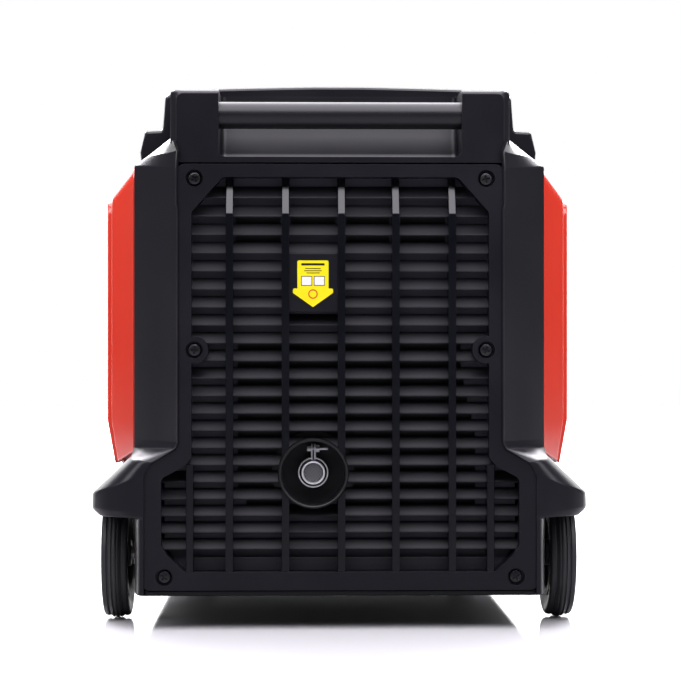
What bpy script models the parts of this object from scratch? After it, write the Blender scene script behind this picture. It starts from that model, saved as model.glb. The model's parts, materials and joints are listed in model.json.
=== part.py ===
"""Portable generator: an enclosed inverter set on two wheels, as an assembly of separate pieces.

Metres, +Z up. The origin is on the ground, midway between the ends and between the sides. +Y runs
from the exhaust end to the control end. Each visible object is one piece of the real machine; a
piece that moves has its origin on its joint's axis.
"""

import math

import bmesh
import bpy

# Overall sizes
LENGTH = 0.620  # rear cover to the face of the pull grip
WIDTH = 0.456  # over the wheel fenders
HEIGHT = 0.505  # ground to the top of the crown

# Fits and walls
GAP = 0.0003  # between pieces that touch
PLAY = 0.0005  # around what slides or turns
WALL = 0.003  # moulded shells and covers
PAST = 0.010  # how far a cutter runs past the face it cuts

# Body section: half widths and heights
FENDER_OUT = 0.038
BODY_HALF = WIDTH / 2 - FENDER_OUT
BODY_BOTTOM = 0.031
CROWN_RISE = 0.080
DECK = HEIGHT - CROWN_RISE
SHOULDER_WIDTH = 0.0342
SHOULDER_RISE = 0.019
SHOULDER_DROP = 0.009
HOUSING_HALF = BODY_HALF - SHOULDER_WIDTH - 0.0014
TAPER = 0.047  # how far the body takes to reach its full width behind each end
RIM = 0.0015  # shell edge round a cover
RIM_BACK = 0.002

# End covers
COVER_HALF = BODY_HALF - 0.011
COVER_NECK_HALF = BODY_HALF - 0.042
COVER_BOTTOM = BODY_BOTTOM + 0.005
COVER_TOP = DECK - RIM
COVER_DEPTH = 0.010
FLARE_BOTTOM = 0.143
FLARE_TOP = 0.168
GRIP_RADIUS = 0.0125
GRIP_OUT = 0.025
REAR = -LENGTH / 2
GRIP_FRONT = LENGTH / 2
FRONT = GRIP_FRONT - GRIP_OUT
SPLIT = -0.020  # where the rear and front shells meet

# Rear cover: opening, ribs and louvres
FRAME_NECK = 0.0125
FRAME_LOW = 0.016
OPEN_HALF = COVER_NECK_HALF - FRAME_NECK
OPEN_LOW_HALF = COVER_HALF - FRAME_LOW
OPEN_TOP = COVER_TOP - 0.0117
OPEN_BOTTOM = COVER_BOTTOM + 0.0167
RIB_WIDTH = 0.007
RIB_COUNT = 5
RIB_SIDE_BAY = 0.034
RIB_PITCH = 2 * (OPEN_HALF - RIB_SIDE_BAY) / (RIB_COUNT - 1)
SHORT_RIB_INSET = 0.026
LOUVRE_COUNT = 21
LOUVRE_DEPTH = 0.008
LOUVRE_TOOTH = 0.005
LOUVRE_SLOT = 0.0045
VENT_SLOTS = 10
LABEL_TOP = OPEN_TOP - 0.0698
LABEL_BOTTOM = LABEL_TOP - 0.053
BOSS_RADIUS = 0.0125
SCREW_HEAD_RADIUS = 0.0068
SCREW_SINK = 0.005
SCREW_SHANK_RADIUS = 0.0025

# Exhaust
EXHAUST_X = -0.0246
EXHAUST_Z = 0.142
PIPE_RADIUS = 0.011
PIPE_WALL = 0.0022
PIPE_SET_BACK = 0.012
CLAMP_THICKNESS = 0.003
CLAMP_WIDTH = 0.010
CLAMP_EAR = 0.012
BOLT_RADIUS = 0.0018
GUARD_RADIUS = PIPE_RADIUS + CLAMP_THICKNESS + CLAMP_EAR + WALL + 0.003
GUARD_DEPTH = 0.035

# Handles
HANDLE_Z = DECK + 0.0445
BAR_RADIUS = 0.01225
BAR_SET_BACK = 0.018
HOUSING_TOP = DECK + 0.0677
POST_WIDTH = 0.0434
REAR_HOUSING_DEPTH = 0.0775
REAR_RECESS_DEPTH = 0.066
FRONT_HOUSING_DEPTH = 0.059
FRONT_RECESS_DEPTH = 0.042
RECESS_FLOOR = DECK + 0.0055
TUBE_RADIUS = 0.0095
TUBE_INSET = 0.0224  # tube axis in from the outside of the housing
TUBE_END = REAR + REAR_HOUSING_DEPTH + 0.043  # the stowed tubes reach back to here
GUIDE_WALL = 0.004

# Crown (top cover)
CROWN_LEDGE_OUT = 0.0028
CROWN_HALF = BODY_HALF - 0.025
CROWN_LEDGE_Z = DECK + 0.0455

# Side covers
SIDE_OUT = 0.031
SIDE_REAR = REAR + 0.078
SIDE_FRONT = FRONT - 0.085
SIDE_TOP = DECK + 0.003
SIDE_BOTTOM = 0.100
SIDE_RAMP = 0.028
LATCH_RADIUS = 0.014
LATCH_INSET = 0.030
LATCH_RISE = 0.040
RECOIL_POCKET = (0.066, 0.040)
RECOIL_POCKET_DEPTH = 0.018

# Wheels and feet
WHEEL_RADIUS = 0.061
WHEEL_WIDTH = 0.0245
WHEEL_GAP = 0.007
RIM_RADIUS = 0.041
AXLE_RADIUS = 0.006
AXLE_Y = REAR + 0.100
WELL_GAP = 0.0035
FENDER_TOP = WHEEL_RADIUS + 0.107
FENDER_LIP = WHEEL_RADIUS + 0.041
FOOT_RADIUS = 0.018
FOOT_INSET = 0.040
FOOT_FROM_FRONT = 0.085

# Power unit: the crank runs across the machine
CRANK_Y = REAR + 0.235
CRANK_Z = 0.140
CRANK_RADIUS = 0.012
BLOCK_LEFT = -0.050
BLOCK_RIGHT = 0.080
BLOCK_HALF_LENGTH = 0.070
BLOCK_HALF_HEIGHT = 0.060
HEAD_INSET = 0.015
HEAD_HEIGHT = 0.085
FIN_COUNT = 6
STATOR_RADIUS = 0.052
FLYWHEEL_RADIUS = 0.065
FLYWHEEL_DEPTH = 0.035
FAN_DEPTH = 0.016
FAN_BLADES = 8
SHROUD_RADIUS = 0.074
MUFFLER_HALF = 0.090
MUFFLER_HEIGHT = 0.140
MUFFLER_GAP = 0.010

# Fuel
CAP_Y = FRONT - 0.165
CAP_RADIUS = 0.040
NECK_RADIUS = 0.030
NECK_TOP = HEIGHT - 0.035
TANK_LENGTH = 0.200
TANK_INSET = 0.037

# Control panel: places are (across, up) on the panel
PANEL_THICKNESS = 0.006
PANEL_BACK = 0.010  # how far a fitting reaches behind the panel
PANEL_PROUD = 0.003
OUTLET_RADIUS = 0.024
OUTLET_SPACING = 0.078
OUTLET_Z = 0.150
DC_OUTLET_RADIUS = 0.014
DC_OUTLET_Z = 0.215
SWITCH_RADIUS = 0.022
SWITCH_Z = COVER_TOP - 0.1035
KEY_RADIUS = 0.012
BUTTON_RADIUS = 0.011
BREAKER_RADIUS = 0.006
TERMINAL_RADIUS = 0.006
PRESS_DEPTH = 0.003

# Electrical boxes on the floor of the body
BOX_LENGTH = 0.090
BOX_HEIGHT = 0.095
INVERTER_WIDTH = 0.130
BATTERY_WIDTH = 0.110

STEPS = 20  # sides of a large round piece
FEW_STEPS = 12  # sides of a small one
SCREW_STEPS = 8


def finish(name, colour, roughness, metallic=0.0):
    """A Principled material of one colour, roughness and metallic value."""
    material = bpy.data.materials.new(name)
    material.use_nodes = True
    shader = material.node_tree.nodes["Principled BSDF"]
    shader.inputs["Base Color"].default_value = (*colour, 1.0)
    shader.inputs["Roughness"].default_value = roughness
    shader.inputs["Metallic"].default_value = metallic
    return material


def placed(axis, a, b, along):
    """A point from its two coordinates in the plane across the axis and its distance along it."""
    return {"X": (along, a, b), "Y": (a, along, b), "Z": (a, b, along)}[axis]


def loft(axis, sections):
    """A closed solid through outlines of equal length, each given with its distance along the axis."""
    mesh = bmesh.new()
    rings = []
    for along, outline in sections:
        rings.append([mesh.verts.new(placed(axis, a, b, along)) for a, b in outline])
    for near, far in zip(rings, rings[1:]):
        for i, vertex in enumerate(near):
            mesh.faces.new((near[i - 1], vertex, far[i], far[i - 1]))
    mesh.faces.new(rings[0])
    mesh.faces.new(rings[-1])
    bmesh.ops.recalc_face_normals(mesh, faces=mesh.faces)
    return mesh


def prism(axis, outline, start, end):
    return loft(axis, [(start, outline), (end, outline)])


def box(low, high):
    outline = [(low[0], low[1]), (high[0], low[1]), (high[0], high[1]), (low[0], high[1])]
    return prism("Z", outline, low[2], high[2])


def turned(axis, centre, profile, steps=STEPS):
    """A body of revolution. Profile points are (radius, distance along the axis); a profile whose
    ends lie on the axis stays open there, and any other one closes into a ring."""
    mesh = bmesh.new()
    ring = axis != "Z"
    start = [placed(axis, 0 if ring else r, r if ring else 0, along) for r, along in profile]
    verts = [mesh.verts.new(point) for point in start]
    edges = [mesh.edges.new(pair) for pair in zip(verts, verts[1:])]
    if profile[0][0] > 0:
        edges.append(mesh.edges.new((verts[-1], verts[0])))
    bmesh.ops.spin(
        mesh,
        geom=verts + edges,
        cent=(0, 0, 0),
        axis=placed(axis, 0, 0, 1),
        angle=math.tau,
        steps=steps,
        use_merge=True,
    )
    bmesh.ops.remove_doubles(mesh, verts=mesh.verts, dist=1e-6)
    bmesh.ops.recalc_face_normals(mesh, faces=mesh.faces)
    bmesh.ops.translate(mesh, verts=mesh.verts, vec=placed(axis, *centre, 0))
    return mesh


def rod(axis, centre, radius, start, end, steps=STEPS):
    return turned(axis, centre, [(0, start), (radius, start), (radius, end), (0, end)], steps)


def tube(axis, centre, outer, inner, start, end, steps=STEPS):
    profile = [(inner, start), (outer, start), (outer, end), (inner, end)]
    return turned(axis, centre, profile, steps)


def together(*meshes):
    """One mesh that holds several closed shapes, for a cutter or for what joins a piece in one go."""
    whole = bmesh.new()
    for mesh in meshes:
        copy = bpy.data.meshes.new("part")
        mesh.to_mesh(copy)
        mesh.free()
        whole.from_mesh(copy)
        bpy.data.meshes.remove(copy)
    return whole


def rounded(outline, radius, steps=3):
    """The outline with each corner turned into an arc, limited to what its two sides can carry."""
    points = []
    for i, corner in enumerate(outline):
        before = outline[i - 1]
        after = outline[(i + 1) % len(outline)]
        sides = [(p[0] - corner[0], p[1] - corner[1]) for p in (before, after)]
        lengths = [math.hypot(*side) for side in sides]
        units = [(s[0] / n, s[1] / n) for s, n in zip(sides, lengths)]
        dot = units[0][0] * units[1][0] + units[0][1] * units[1][1]
        half = math.acos(max(-1.0, min(1.0, dot))) / 2
        reach = min(radius / math.tan(half), 0.45 * min(lengths))
        for k in range(steps + 1):
            t = k / steps
            weights = ((1 - t) ** 2 * reach, t**2 * reach)
            points.append(
                (
                    corner[0] + weights[0] * units[0][0] + weights[1] * units[1][0],
                    corner[1] + weights[0] * units[0][1] + weights[1] * units[1][1],
                )
            )
    return points


def both_sides(half):
    """A whole outline from its right half, given from the bottom up."""
    return half + [(-x, z) for x, z in reversed(half)]


def rectangle(centre, half_a, half_b):
    a, b = centre
    low = [(a - half_a, b - half_b), (a + half_a, b - half_b)]
    high = [(a + half_a, b + half_b), (a - half_a, b + half_b)]
    return low + high


def piece(name, mesh, material, pivot=(0.0, 0.0, 0.0)):
    """A named object from a mesh in world coordinates, with its origin at the pivot."""
    bmesh.ops.translate(mesh, verts=mesh.verts, vec=[-c for c in pivot])
    data = bpy.data.meshes.new(name)
    mesh.to_mesh(data)
    mesh.free()
    if material:
        data.materials.append(material)
    data.shade_smooth()
    data.set_sharp_from_angle(angle=math.radians(35))
    obj = bpy.data.objects.new(name, data)
    obj.location = pivot
    bpy.context.scene.collection.objects.link(obj)
    return obj


def boolean(obj, mesh, operation):
    """A live Boolean with a hidden helper that follows the object."""
    helper = piece(f"{obj.name}_{operation.lower()}_{len(obj.modifiers)}", mesh, None)
    helper.hide_render = True
    helper.display_type = "WIRE"
    helper.parent = obj
    helper.location = [-c for c in obj.location]
    modifier = obj.modifiers.new(operation.title(), "BOOLEAN")
    modifier.operation = operation
    modifier.solver = "EXACT"
    modifier.object = helper


def cut(obj, *meshes):
    boolean(obj, together(*meshes), "DIFFERENCE")


def join(obj, *meshes):
    boolean(obj, together(*meshes), "UNION")


def keep(obj, mesh):
    boolean(obj, mesh, "INTERSECT")


def ride(obj, parent):
    """Parents a piece to the one that carries it, without moving it."""
    obj.location = obj.location - parent.location
    obj.parent = parent


# Shared outlines


def cover_half(grow=0.0, bottom=None):
    """Right half of the end covers' outline: wide at the bottom, narrow above the flare."""
    low = COVER_BOTTOM - grow if bottom is None else bottom
    side = COVER_HALF + grow
    neck = COVER_NECK_HALF + grow
    top = COVER_TOP + grow
    return [
        (side, low),
        (side, FLARE_BOTTOM),
        (side - 0.005, FLARE_BOTTOM + 0.008),
        (neck + 0.002, FLARE_TOP - 0.003),
        (neck, FLARE_TOP),
        (neck, top - 0.014),
        (neck, top - 0.006),
        (neck - 0.0015, top - 0.0015),
        (neck - 0.003, top),
    ]


def body_half(grow=0.0, bottom=None):
    """Right half of the body's outline behind its tapered ends, point for point with the covers'."""
    low = BODY_BOTTOM - grow if bottom is None else bottom
    side = BODY_HALF + grow
    inner = BODY_HALF - SHOULDER_WIDTH
    return [
        (side, low),
        (side, FLARE_BOTTOM),
        (side, FLARE_BOTTOM + 0.008),
        (side, FLARE_TOP - 0.003),
        (side, FLARE_TOP),
        (side, DECK - SHOULDER_DROP + grow / 2),
        (BODY_HALF - 0.0044 + grow / 2, DECK + grow),
        (inner - grow, DECK + SHOULDER_RISE + grow),
        (inner - 0.0011 - grow, DECK + grow),
    ]


# Body shells


def shell(name, end, meet, material):
    """One end of the body: a hood that tapers to the cover in its end and is open underneath."""
    inward = 1 if meet > end else -1
    skin = [
        (end + inward * RIM_BACK, both_sides(cover_half(RIM))),
        (end + inward * TAPER, both_sides(body_half())),
        (meet, both_sides(body_half())),
    ]
    obj = piece(name, loft("Y", skin), material)
    if name == "rear_shell":
        for side in (-1, 1):
            join(obj, fender(side))
    low = BODY_BOTTOM - PAST
    hollow = [
        (end - inward * PAST, both_sides(cover_half(GAP, low))),
        (end + inward * (COVER_DEPTH + 0.004), both_sides(cover_half(GAP, low))),
        (end + inward * TAPER, both_sides(body_half(-WALL, low))),
        (meet + inward * PAST, both_sides(body_half(-WALL, low))),
    ]
    cut(obj, loft("Y", hollow))
    cut(obj, side_window())
    seat = HOUSING_HALF + GAP
    cut(obj, box((-seat, -LENGTH, DECK + GAP / 2), (seat, LENGTH, HEIGHT)))
    return obj


def side_window():
    """The service opening behind the side covers."""
    low = (-WIDTH, SIDE_REAR + 0.050, SIDE_BOTTOM + 0.090)
    high = (WIDTH, SIDE_FRONT - 0.040, DECK - 0.036)
    return box(low, high)


def fender_outline(side, tip):
    points = [
        (BODY_HALF - 0.010, FENDER_TOP),
        (BODY_HALF - 0.002, FENDER_TOP - 0.002),
        (tip - 0.0045, WHEEL_RADIUS + 0.0705),
        (tip, WHEEL_RADIUS + 0.063),
        (tip, WHEEL_RADIUS + 0.052),
        (tip - 0.006, FENDER_LIP + 0.004),
        (BODY_HALF - 0.010, FENDER_LIP),
    ]
    return [(side * x, z) for x, z in points]


def fender(side):
    tip = WIDTH / 2
    return loft(
        "Y",
        [
            (AXLE_Y - 0.088, fender_outline(side, tip - 0.005)),
            (AXLE_Y - 0.053, fender_outline(side, tip)),
            (AXLE_Y + 0.060, fender_outline(side, tip)),
            (AXLE_Y + 0.084, fender_outline(side, tip - 0.007)),
        ],
    )


def body_shells(black):
    rear = shell("rear_shell", REAR, SPLIT - GAP / 2, black)
    front = shell("front_shell", FRONT, SPLIT + GAP / 2, black)
    inside = BODY_HALF + WHEEL_GAP - WELL_GAP
    outside = BODY_HALF + WHEEL_GAP + WHEEL_WIDTH + 0.003
    wheel = (AXLE_Y, WHEEL_RADIUS)
    for side in (-1, 1):
        cut(rear, rod("X", wheel, WHEEL_RADIUS + WELL_GAP, side * inside, side * outside, 32))
    cut(rear, rod("X", wheel, AXLE_RADIUS + PLAY, -WIDTH, WIDTH, FEW_STEPS))
    cut(front, rod("Z", (0, CAP_Y), NECK_RADIUS + 0.002, DECK - 0.020, DECK + 0.020))
    return rear, front


def base_pan(black):
    """The floor of the machine, with a cross rail for the axle and two rails under the engine."""
    narrow = COVER_HALF - 0.001
    wide = BODY_HALF - WALL - 0.001
    half = [
        (narrow, REAR + 0.001),
        (narrow, REAR + COVER_DEPTH + 0.004),
        (wide, REAR + TAPER),
        (wide, FRONT - TAPER),
        (narrow, FRONT - COVER_DEPTH - 0.004),
        (narrow, FRONT - 0.001),
    ]
    top = COVER_BOTTOM - GAP
    obj = piece("base_pan", prism("Z", both_sides(half), BODY_BOTTOM, top), black)
    rail_low = (-wide + 0.002, AXLE_Y - 0.016, BODY_BOTTOM + 0.002)
    rail = box(rail_low, (wide - 0.002, AXLE_Y + 0.016, WHEEL_RADIUS + 0.018))
    seat = CRANK_Z - BLOCK_HALF_HEIGHT - GAP
    legs = []
    for y in (CRANK_Y - 0.052, CRANK_Y + 0.052):
        legs.append(box((BLOCK_LEFT, y - 0.012, BODY_BOTTOM + 0.002), (BLOCK_RIGHT, y + 0.012, seat)))
    join(obj, rail, *legs)
    cut(obj, rod("X", (AXLE_Y, WHEEL_RADIUS), AXLE_RADIUS + GAP, -WIDTH, WIDTH, FEW_STEPS))


# Rear cover


def screw_places():
    """Middles of the six rear cover screws: top corners, half height and bottom corners."""
    neck = COVER_NECK_HALF - 0.0152
    middle = (COVER_TOP + COVER_BOTTOM) / 2 + 0.0248
    right = [(neck, COVER_TOP - 0.013), (neck, middle), (COVER_HALF - 0.019, COVER_BOTTOM + 0.012)]
    return [(-x, z) for x, z in right] + right


def opening_half():
    return [
        (OPEN_LOW_HALF - 0.022, OPEN_BOTTOM),
        (OPEN_LOW_HALF - 0.006, OPEN_BOTTOM + 0.0148),
        (OPEN_LOW_HALF, OPEN_BOTTOM + 0.0233),
        (OPEN_LOW_HALF, FLARE_BOTTOM - 0.005),
        (OPEN_HALF + 0.006, FLARE_BOTTOM + 0.006),
        (OPEN_HALF, FLARE_BOTTOM + 0.013),
        (OPEN_HALF, OPEN_TOP - 0.0318),
        (OPEN_HALF - 0.0285, OPEN_TOP),
    ]


def rib_middles():
    first = -(RIB_COUNT - 1) / 2 * RIB_PITCH
    return [first + i * RIB_PITCH for i in range(RIB_COUNT)]


def rear_cover(black):
    """The frame of the exhaust end with its upright ribs, screw bosses and a plate for the label."""
    outline = both_sides(cover_half())
    obj = piece("rear_cover", prism("Y", outline, REAR, REAR + COVER_DEPTH), black)
    cut(obj, prism("Y", both_sides(opening_half()), REAR - PAST, REAR + COVER_DEPTH + PAST))
    near = REAR + 0.0005
    far = REAR + COVER_DEPTH - 0.0005
    bars = []
    for x in rib_middles():
        low = (x - RIB_WIDTH / 2, near, OPEN_BOTTOM - 0.004)
        bars.append(box(low, (x + RIB_WIDTH / 2, far, OPEN_TOP + 0.004)))
    for side in (-1, 1):
        x = side * (OPEN_LOW_HALF - SHORT_RIB_INSET)
        low = (x - RIB_WIDTH / 2, near, OPEN_BOTTOM - 0.004)
        bars.append(box(low, (x + RIB_WIDTH / 2, far, FLARE_BOTTOM + 0.020)))
        bars.append(rod("Y", screw_places()[1 if side < 0 else 4], BOSS_RADIUS, near, far, FEW_STEPS))
    join(obj, *bars)
    ribs = rib_middles()
    low = (ribs[1] + RIB_WIDTH / 2 - 0.001, REAR + 0.002, LABEL_BOTTOM)
    high = (ribs[2] - RIB_WIDTH / 2 + 0.001, REAR + 0.005, LABEL_TOP)
    join(obj, box(low, high))
    sinks = []
    for place in screw_places():
        stages = [(0, -PAST), (SCREW_HEAD_RADIUS + 0.0012, -PAST), (SCREW_HEAD_RADIUS + 0.0012, SCREW_SINK)]
        stages += [(SCREW_SHANK_RADIUS + GAP, SCREW_SINK), (SCREW_SHANK_RADIUS + GAP, COVER_DEPTH + PAST)]
        stages += [(0, COVER_DEPTH + PAST)]
        sinks.append(turned("Y", place, [(r, REAR + along) for r, along in stages], SCREW_STEPS))
    cut(obj, *sinks)
    cut(obj, rod("Y", (EXHAUST_X, EXHAUST_Z), GUARD_RADIUS + GAP, REAR - PAST, REAR + COVER_DEPTH + PAST))


def rear_screws(steel):
    seat = SCREW_SINK - GAP
    head = [(0, 0.0018), (SCREW_HEAD_RADIUS - 0.002, 0.0018), (SCREW_HEAD_RADIUS, 0.0035)]
    head.append((SCREW_HEAD_RADIUS, seat))
    end = COVER_DEPTH - 0.0005
    shank = [(SCREW_SHANK_RADIUS, seat), (SCREW_SHANK_RADIUS, end), (0, end)]
    for number, place in enumerate(screw_places(), 1):
        profile = [(r, REAR + along) for r, along in head + shank]
        piece(f"rear_screw_{number}", turned("Y", place, profile, SCREW_STEPS), steel)


def rear_louvres(black):
    """Downward blades in one moulding behind the ribs, open to the air round the exhaust."""
    near = REAR + COVER_DEPTH + GAP
    back = near + LOUVRE_DEPTH
    pitch = (OPEN_TOP - OPEN_BOTTOM) / LOUVRE_COUNT
    face = [(back, OPEN_BOTTOM - 0.006), (near + LOUVRE_TOOTH, OPEN_BOTTOM - 0.006)]
    for i in range(LOUVRE_COUNT):
        z = OPEN_BOTTOM + i * pitch
        face += [(near + LOUVRE_TOOTH, z), (near, z + 0.001), (near, z + 0.003)]
    face += [(near + LOUVRE_TOOTH, OPEN_TOP), (near + LOUVRE_TOOTH, OPEN_TOP + 0.006)]
    face.append((back, OPEN_TOP + 0.006))
    obj = piece("rear_louvres", prism("X", face, -BODY_HALF, BODY_HALF), black)
    keep(obj, prism("Y", both_sides(cover_half(-0.004)), near - PAST, back + PAST))
    ribs = rib_middles()
    slots = []
    for i in range(VENT_SLOTS):
        z = OPEN_BOTTOM + (i + 4) * pitch - LOUVRE_SLOT
        slots.append(box((ribs[0] + 0.008, near - PAST, z), (ribs[-1] + 0.022, back + PAST, z + LOUVRE_SLOT)))
    cut(obj, *slots)
    cut(obj, rod("Y", (EXHAUST_X, EXHAUST_Z), GUARD_RADIUS + GAP, near - PAST, back + PAST))


# Exhaust


def exhaust(steel, zinc, black_steel):
    centre = (EXHAUST_X, EXHAUST_Z)
    inner = GUARD_RADIUS - WALL
    flange = COVER_DEPTH + LOUVRE_DEPTH + 2 * GAP
    stages = [(inner, 0), (GUARD_RADIUS, 0), (GUARD_RADIUS, flange), (GUARD_RADIUS + 0.006, flange)]
    stages += [(GUARD_RADIUS + 0.006, flange + WALL), (GUARD_RADIUS, flange + WALL)]
    stages += [(GUARD_RADIUS, GUARD_DEPTH), (inner, GUARD_DEPTH)]
    piece("exhaust_guard", turned("Y", centre, [(r, REAR + y) for r, y in stages]), black_steel)
    tip = REAR + PIPE_SET_BACK
    bore = PIPE_RADIUS - PIPE_WALL
    piece("exhaust_pipe", tube("Y", centre, PIPE_RADIUS, bore, tip, muffler_rear() - GAP, 16), steel)
    mesh = rod("Y", centre, bore - GAP, tip + 0.002, tip + 0.0035, 16)
    piece("spark_arrestor", mesh, steel)
    exhaust_clamp(centre, tip, zinc)


def exhaust_clamp(centre, tip, zinc):
    """A split band round the pipe whose two ears a bolt draws together."""
    near = tip + 0.006
    far = near + CLAMP_WIDTH
    outer = PIPE_RADIUS + GAP + CLAMP_THICKNESS
    obj = piece("exhaust_clamp", tube("Y", centre, outer, PIPE_RADIUS + GAP, near, far, 16), zinc)
    x, z = centre
    top = z + outer + CLAMP_EAR
    ears = []
    for left, right in ((-0.0055, -0.002), (0.002, 0.0055)):
        ears.append(box((x + left, near + 0.0005, z + outer - 0.002), (x + right, far - 0.0005, top)))
    join(obj, *ears)
    slit = box((x - 0.0015, near - PAST, z + PIPE_RADIUS / 2), (x + 0.0015, far + PAST, z + outer + 0.001))
    bolt = ((near + far) / 2, top - 0.0045)
    cut(obj, slit, rod("X", bolt, BOLT_RADIUS + GAP, x - 0.020, x + 0.020, FEW_STEPS))
    side = 0.0055 + GAP
    radius = BOLT_RADIUS
    head = 2.3 * radius
    profile = [(0, x - side - 0.003), (head, x - side - 0.003), (head, x - side), (radius, x - side)]
    profile += [(radius, x + side), (2.3 * radius, x + side), (2.3 * radius, x + side + 0.004)]
    profile += [(radius, x + side + 0.004), (radius, x + side + 0.010), (0, x + side + 0.010)]
    piece("clamp_bolt", turned("X", bolt, profile, FEW_STEPS), zinc)


def muffler_rear():
    return REAR + 0.048


# Crown, handles and side covers


def crown_half(inset=0.0, bottom=DECK + GAP):
    side = BODY_HALF + CROWN_LEDGE_OUT - inset
    return [
        (BODY_HALF - 0.002 - inset, bottom),
        (side - 0.0015, SIDE_TOP + 0.002),
        (side, DECK + 0.024),
        (side - 0.0074, CROWN_LEDGE_Z - inset),
        (CROWN_HALF + 0.002 - inset, CROWN_LEDGE_Z + 0.002 - inset),
        (CROWN_HALF - inset, HEIGHT - 0.005 - inset),
        (CROWN_HALF - 0.005 - inset, HEIGHT - inset),
    ]


def crown_ends():
    return REAR + REAR_HOUSING_DEPTH + 0.004 + GAP, FRONT - 0.0005 - FRONT_HOUSING_DEPTH - GAP


def top_cover(black):
    """The raised top, with a cross wall that guides the pull tubes and a well round the fuel cap."""
    rear, front = crown_ends()
    obj = piece("top_cover", prism("Y", both_sides(crown_half()), rear, front), black)
    inner = both_sides(crown_half(WALL, DECK - PAST))
    guide = (CAP_Y + CAP_RADIUS + front) / 2
    chambers = [prism("Y", inner, rear + WALL, guide - GUIDE_WALL / 2)]
    chambers.append(prism("Y", inner, guide + GUIDE_WALL / 2, front - WALL))
    cut(obj, *chambers)
    cut(obj, prism("Y", both_sides(body_half(GAP)), rear - PAST, front + PAST))
    cut(obj, rod("Z", (0, CAP_Y), CAP_RADIUS + 0.004, HEIGHT - 0.020, HEIGHT + PAST))
    for side in (-1, 1):
        cut(obj, rod("Y", (side * tube_x(), HANDLE_Z), TUBE_RADIUS + PLAY, guide - 0.020, front + PAST))


def tube_x():
    return HOUSING_HALF - TUBE_INSET


def handle_housing(name, end, depth, recess, black):
    """A block with a hand recess that is open above and towards its end of the machine."""
    inward = 1 if end < 0 else -1
    base = DECK + GAP
    outline = rounded(both_sides([(HOUSING_HALF, base), (HOUSING_HALF, HOUSING_TOP)]), 0.010)
    outline = [p for p in outline if p[1] > DECK + 0.020]
    outline = [(HOUSING_HALF, base)] + outline + [(-HOUSING_HALF, base)]
    obj = piece(name, prism("Y", outline, end, end + inward * depth), black)
    half = HOUSING_HALF - POST_WIDTH
    hollow = both_sides([(half, RECESS_FLOOR), (half, HOUSING_TOP + PAST)])
    cut(obj, prism("Y", hollow, end - inward * PAST, end + inward * recess))
    return obj


def rear_handle(black, gloss):
    end = REAR + 0.004
    handle_housing("rear_handle_housing", end, REAR_HOUSING_DEPTH, REAR_RECESS_DEPTH, black)
    half = HOUSING_HALF - POST_WIDTH - GAP
    centre = (REAR + BAR_SET_BACK, HANDLE_Z)
    piece("rear_handle_bar", rod("X", centre, BAR_RADIUS, -half, half), gloss)


def pull_handle(black, steel, gloss):
    """The stowed pull handle: two tubes through the front housing, joined by a grip with a button."""
    end = FRONT - 0.0005
    housing = handle_housing("front_handle_housing", end, FRONT_HOUSING_DEPTH, FRONT_RECESS_DEPTH, black)
    tunnels = []
    for side in (-1, 1):
        place = (side * tube_x(), HANDLE_Z)
        tunnels.append(rod("Y", place, TUBE_RADIUS + PLAY, end - FRONT_HOUSING_DEPTH - PAST, end + PAST))
    cut(housing, *tunnels)
    back = GRIP_FRONT - 2 * GRIP_RADIUS
    pivot = (0, back, HANDLE_Z)
    reach = tube_x() + GRIP_RADIUS
    bar = rod("X", (GRIP_FRONT - GRIP_RADIUS, HANDLE_Z), GRIP_RADIUS, -reach, reach, 16)
    grip = piece("pull_grip", bar, gloss, pivot)
    ends = []
    for side in (-1, 1):
        outer = side * (reach - 0.0005)
        inner = side * (tube_x() - GRIP_RADIUS)
        low = (min(outer, inner), back, HANDLE_Z - GRIP_RADIUS + 0.001)
        high = (max(outer, inner), GRIP_FRONT - GRIP_RADIUS / 2, HANDLE_Z + GRIP_RADIUS - 0.001)
        ends.append(box(low, high))
    join(grip, *ends)
    middle = GRIP_FRONT - GRIP_RADIUS
    top = HANDLE_Z + GRIP_RADIUS
    cut(grip, box((-0.0150, middle - 0.0055, top - 0.009), (0.0150, middle + 0.0055, top + PAST)))
    half_length = 0.0150 - PLAY
    half_width = 0.0055 - PLAY
    low = (-half_length, middle - half_width, top - 0.0045)
    shape = box(low, (half_length, middle + half_width, top + 0.0025))
    button = piece("pull_release_button", shape, black, (0, middle, top))
    ride(button, grip)
    for side, name in ((-1, "pull_tube_left"), (1, "pull_tube_right")):
        place = (side * tube_x(), HANDLE_Z)
        shape = tube("Y", place, TUBE_RADIUS, TUBE_RADIUS - 0.0015, TUBE_END, back - GAP, 16)
        ride(piece(name, shape, steel, (place[0], back, HANDLE_Z)), grip)


def side_outline(side, inset=0.0):
    """Section of a side cover, closed along the body's side."""
    flat = BODY_HALF + SIDE_OUT - inset
    inner = BODY_HALF + GAP - (PAST if inset else 0)
    low = SIDE_BOTTOM + inset
    points = [
        (inner, low),
        (flat - 0.0115, low),
        (flat - 0.011, FLARE_BOTTOM + 0.006),
        (flat, FLARE_BOTTOM + 0.043),
        (flat, SIDE_TOP - 0.029 - inset),
        (BODY_HALF + 0.003, SIDE_TOP - 0.004 - inset),
        (inner, SIDE_TOP - inset),
    ]
    return [(side * x, z) for x, z in points]


def side_plan(side):
    """Plan of a side cover: both ends ramp out from the body."""
    flat = BODY_HALF + SIDE_OUT
    inner = BODY_HALF - PAST
    edge = BODY_HALF + 0.003
    points = [(inner, SIDE_REAR), (edge, SIDE_REAR), (flat + 0.001, SIDE_REAR + SIDE_RAMP)]
    points += [(flat + 0.001, SIDE_FRONT - SIDE_RAMP), (edge, SIDE_FRONT), (inner, SIDE_FRONT)]
    return [(side * x, y) for x, y in points]


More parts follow.
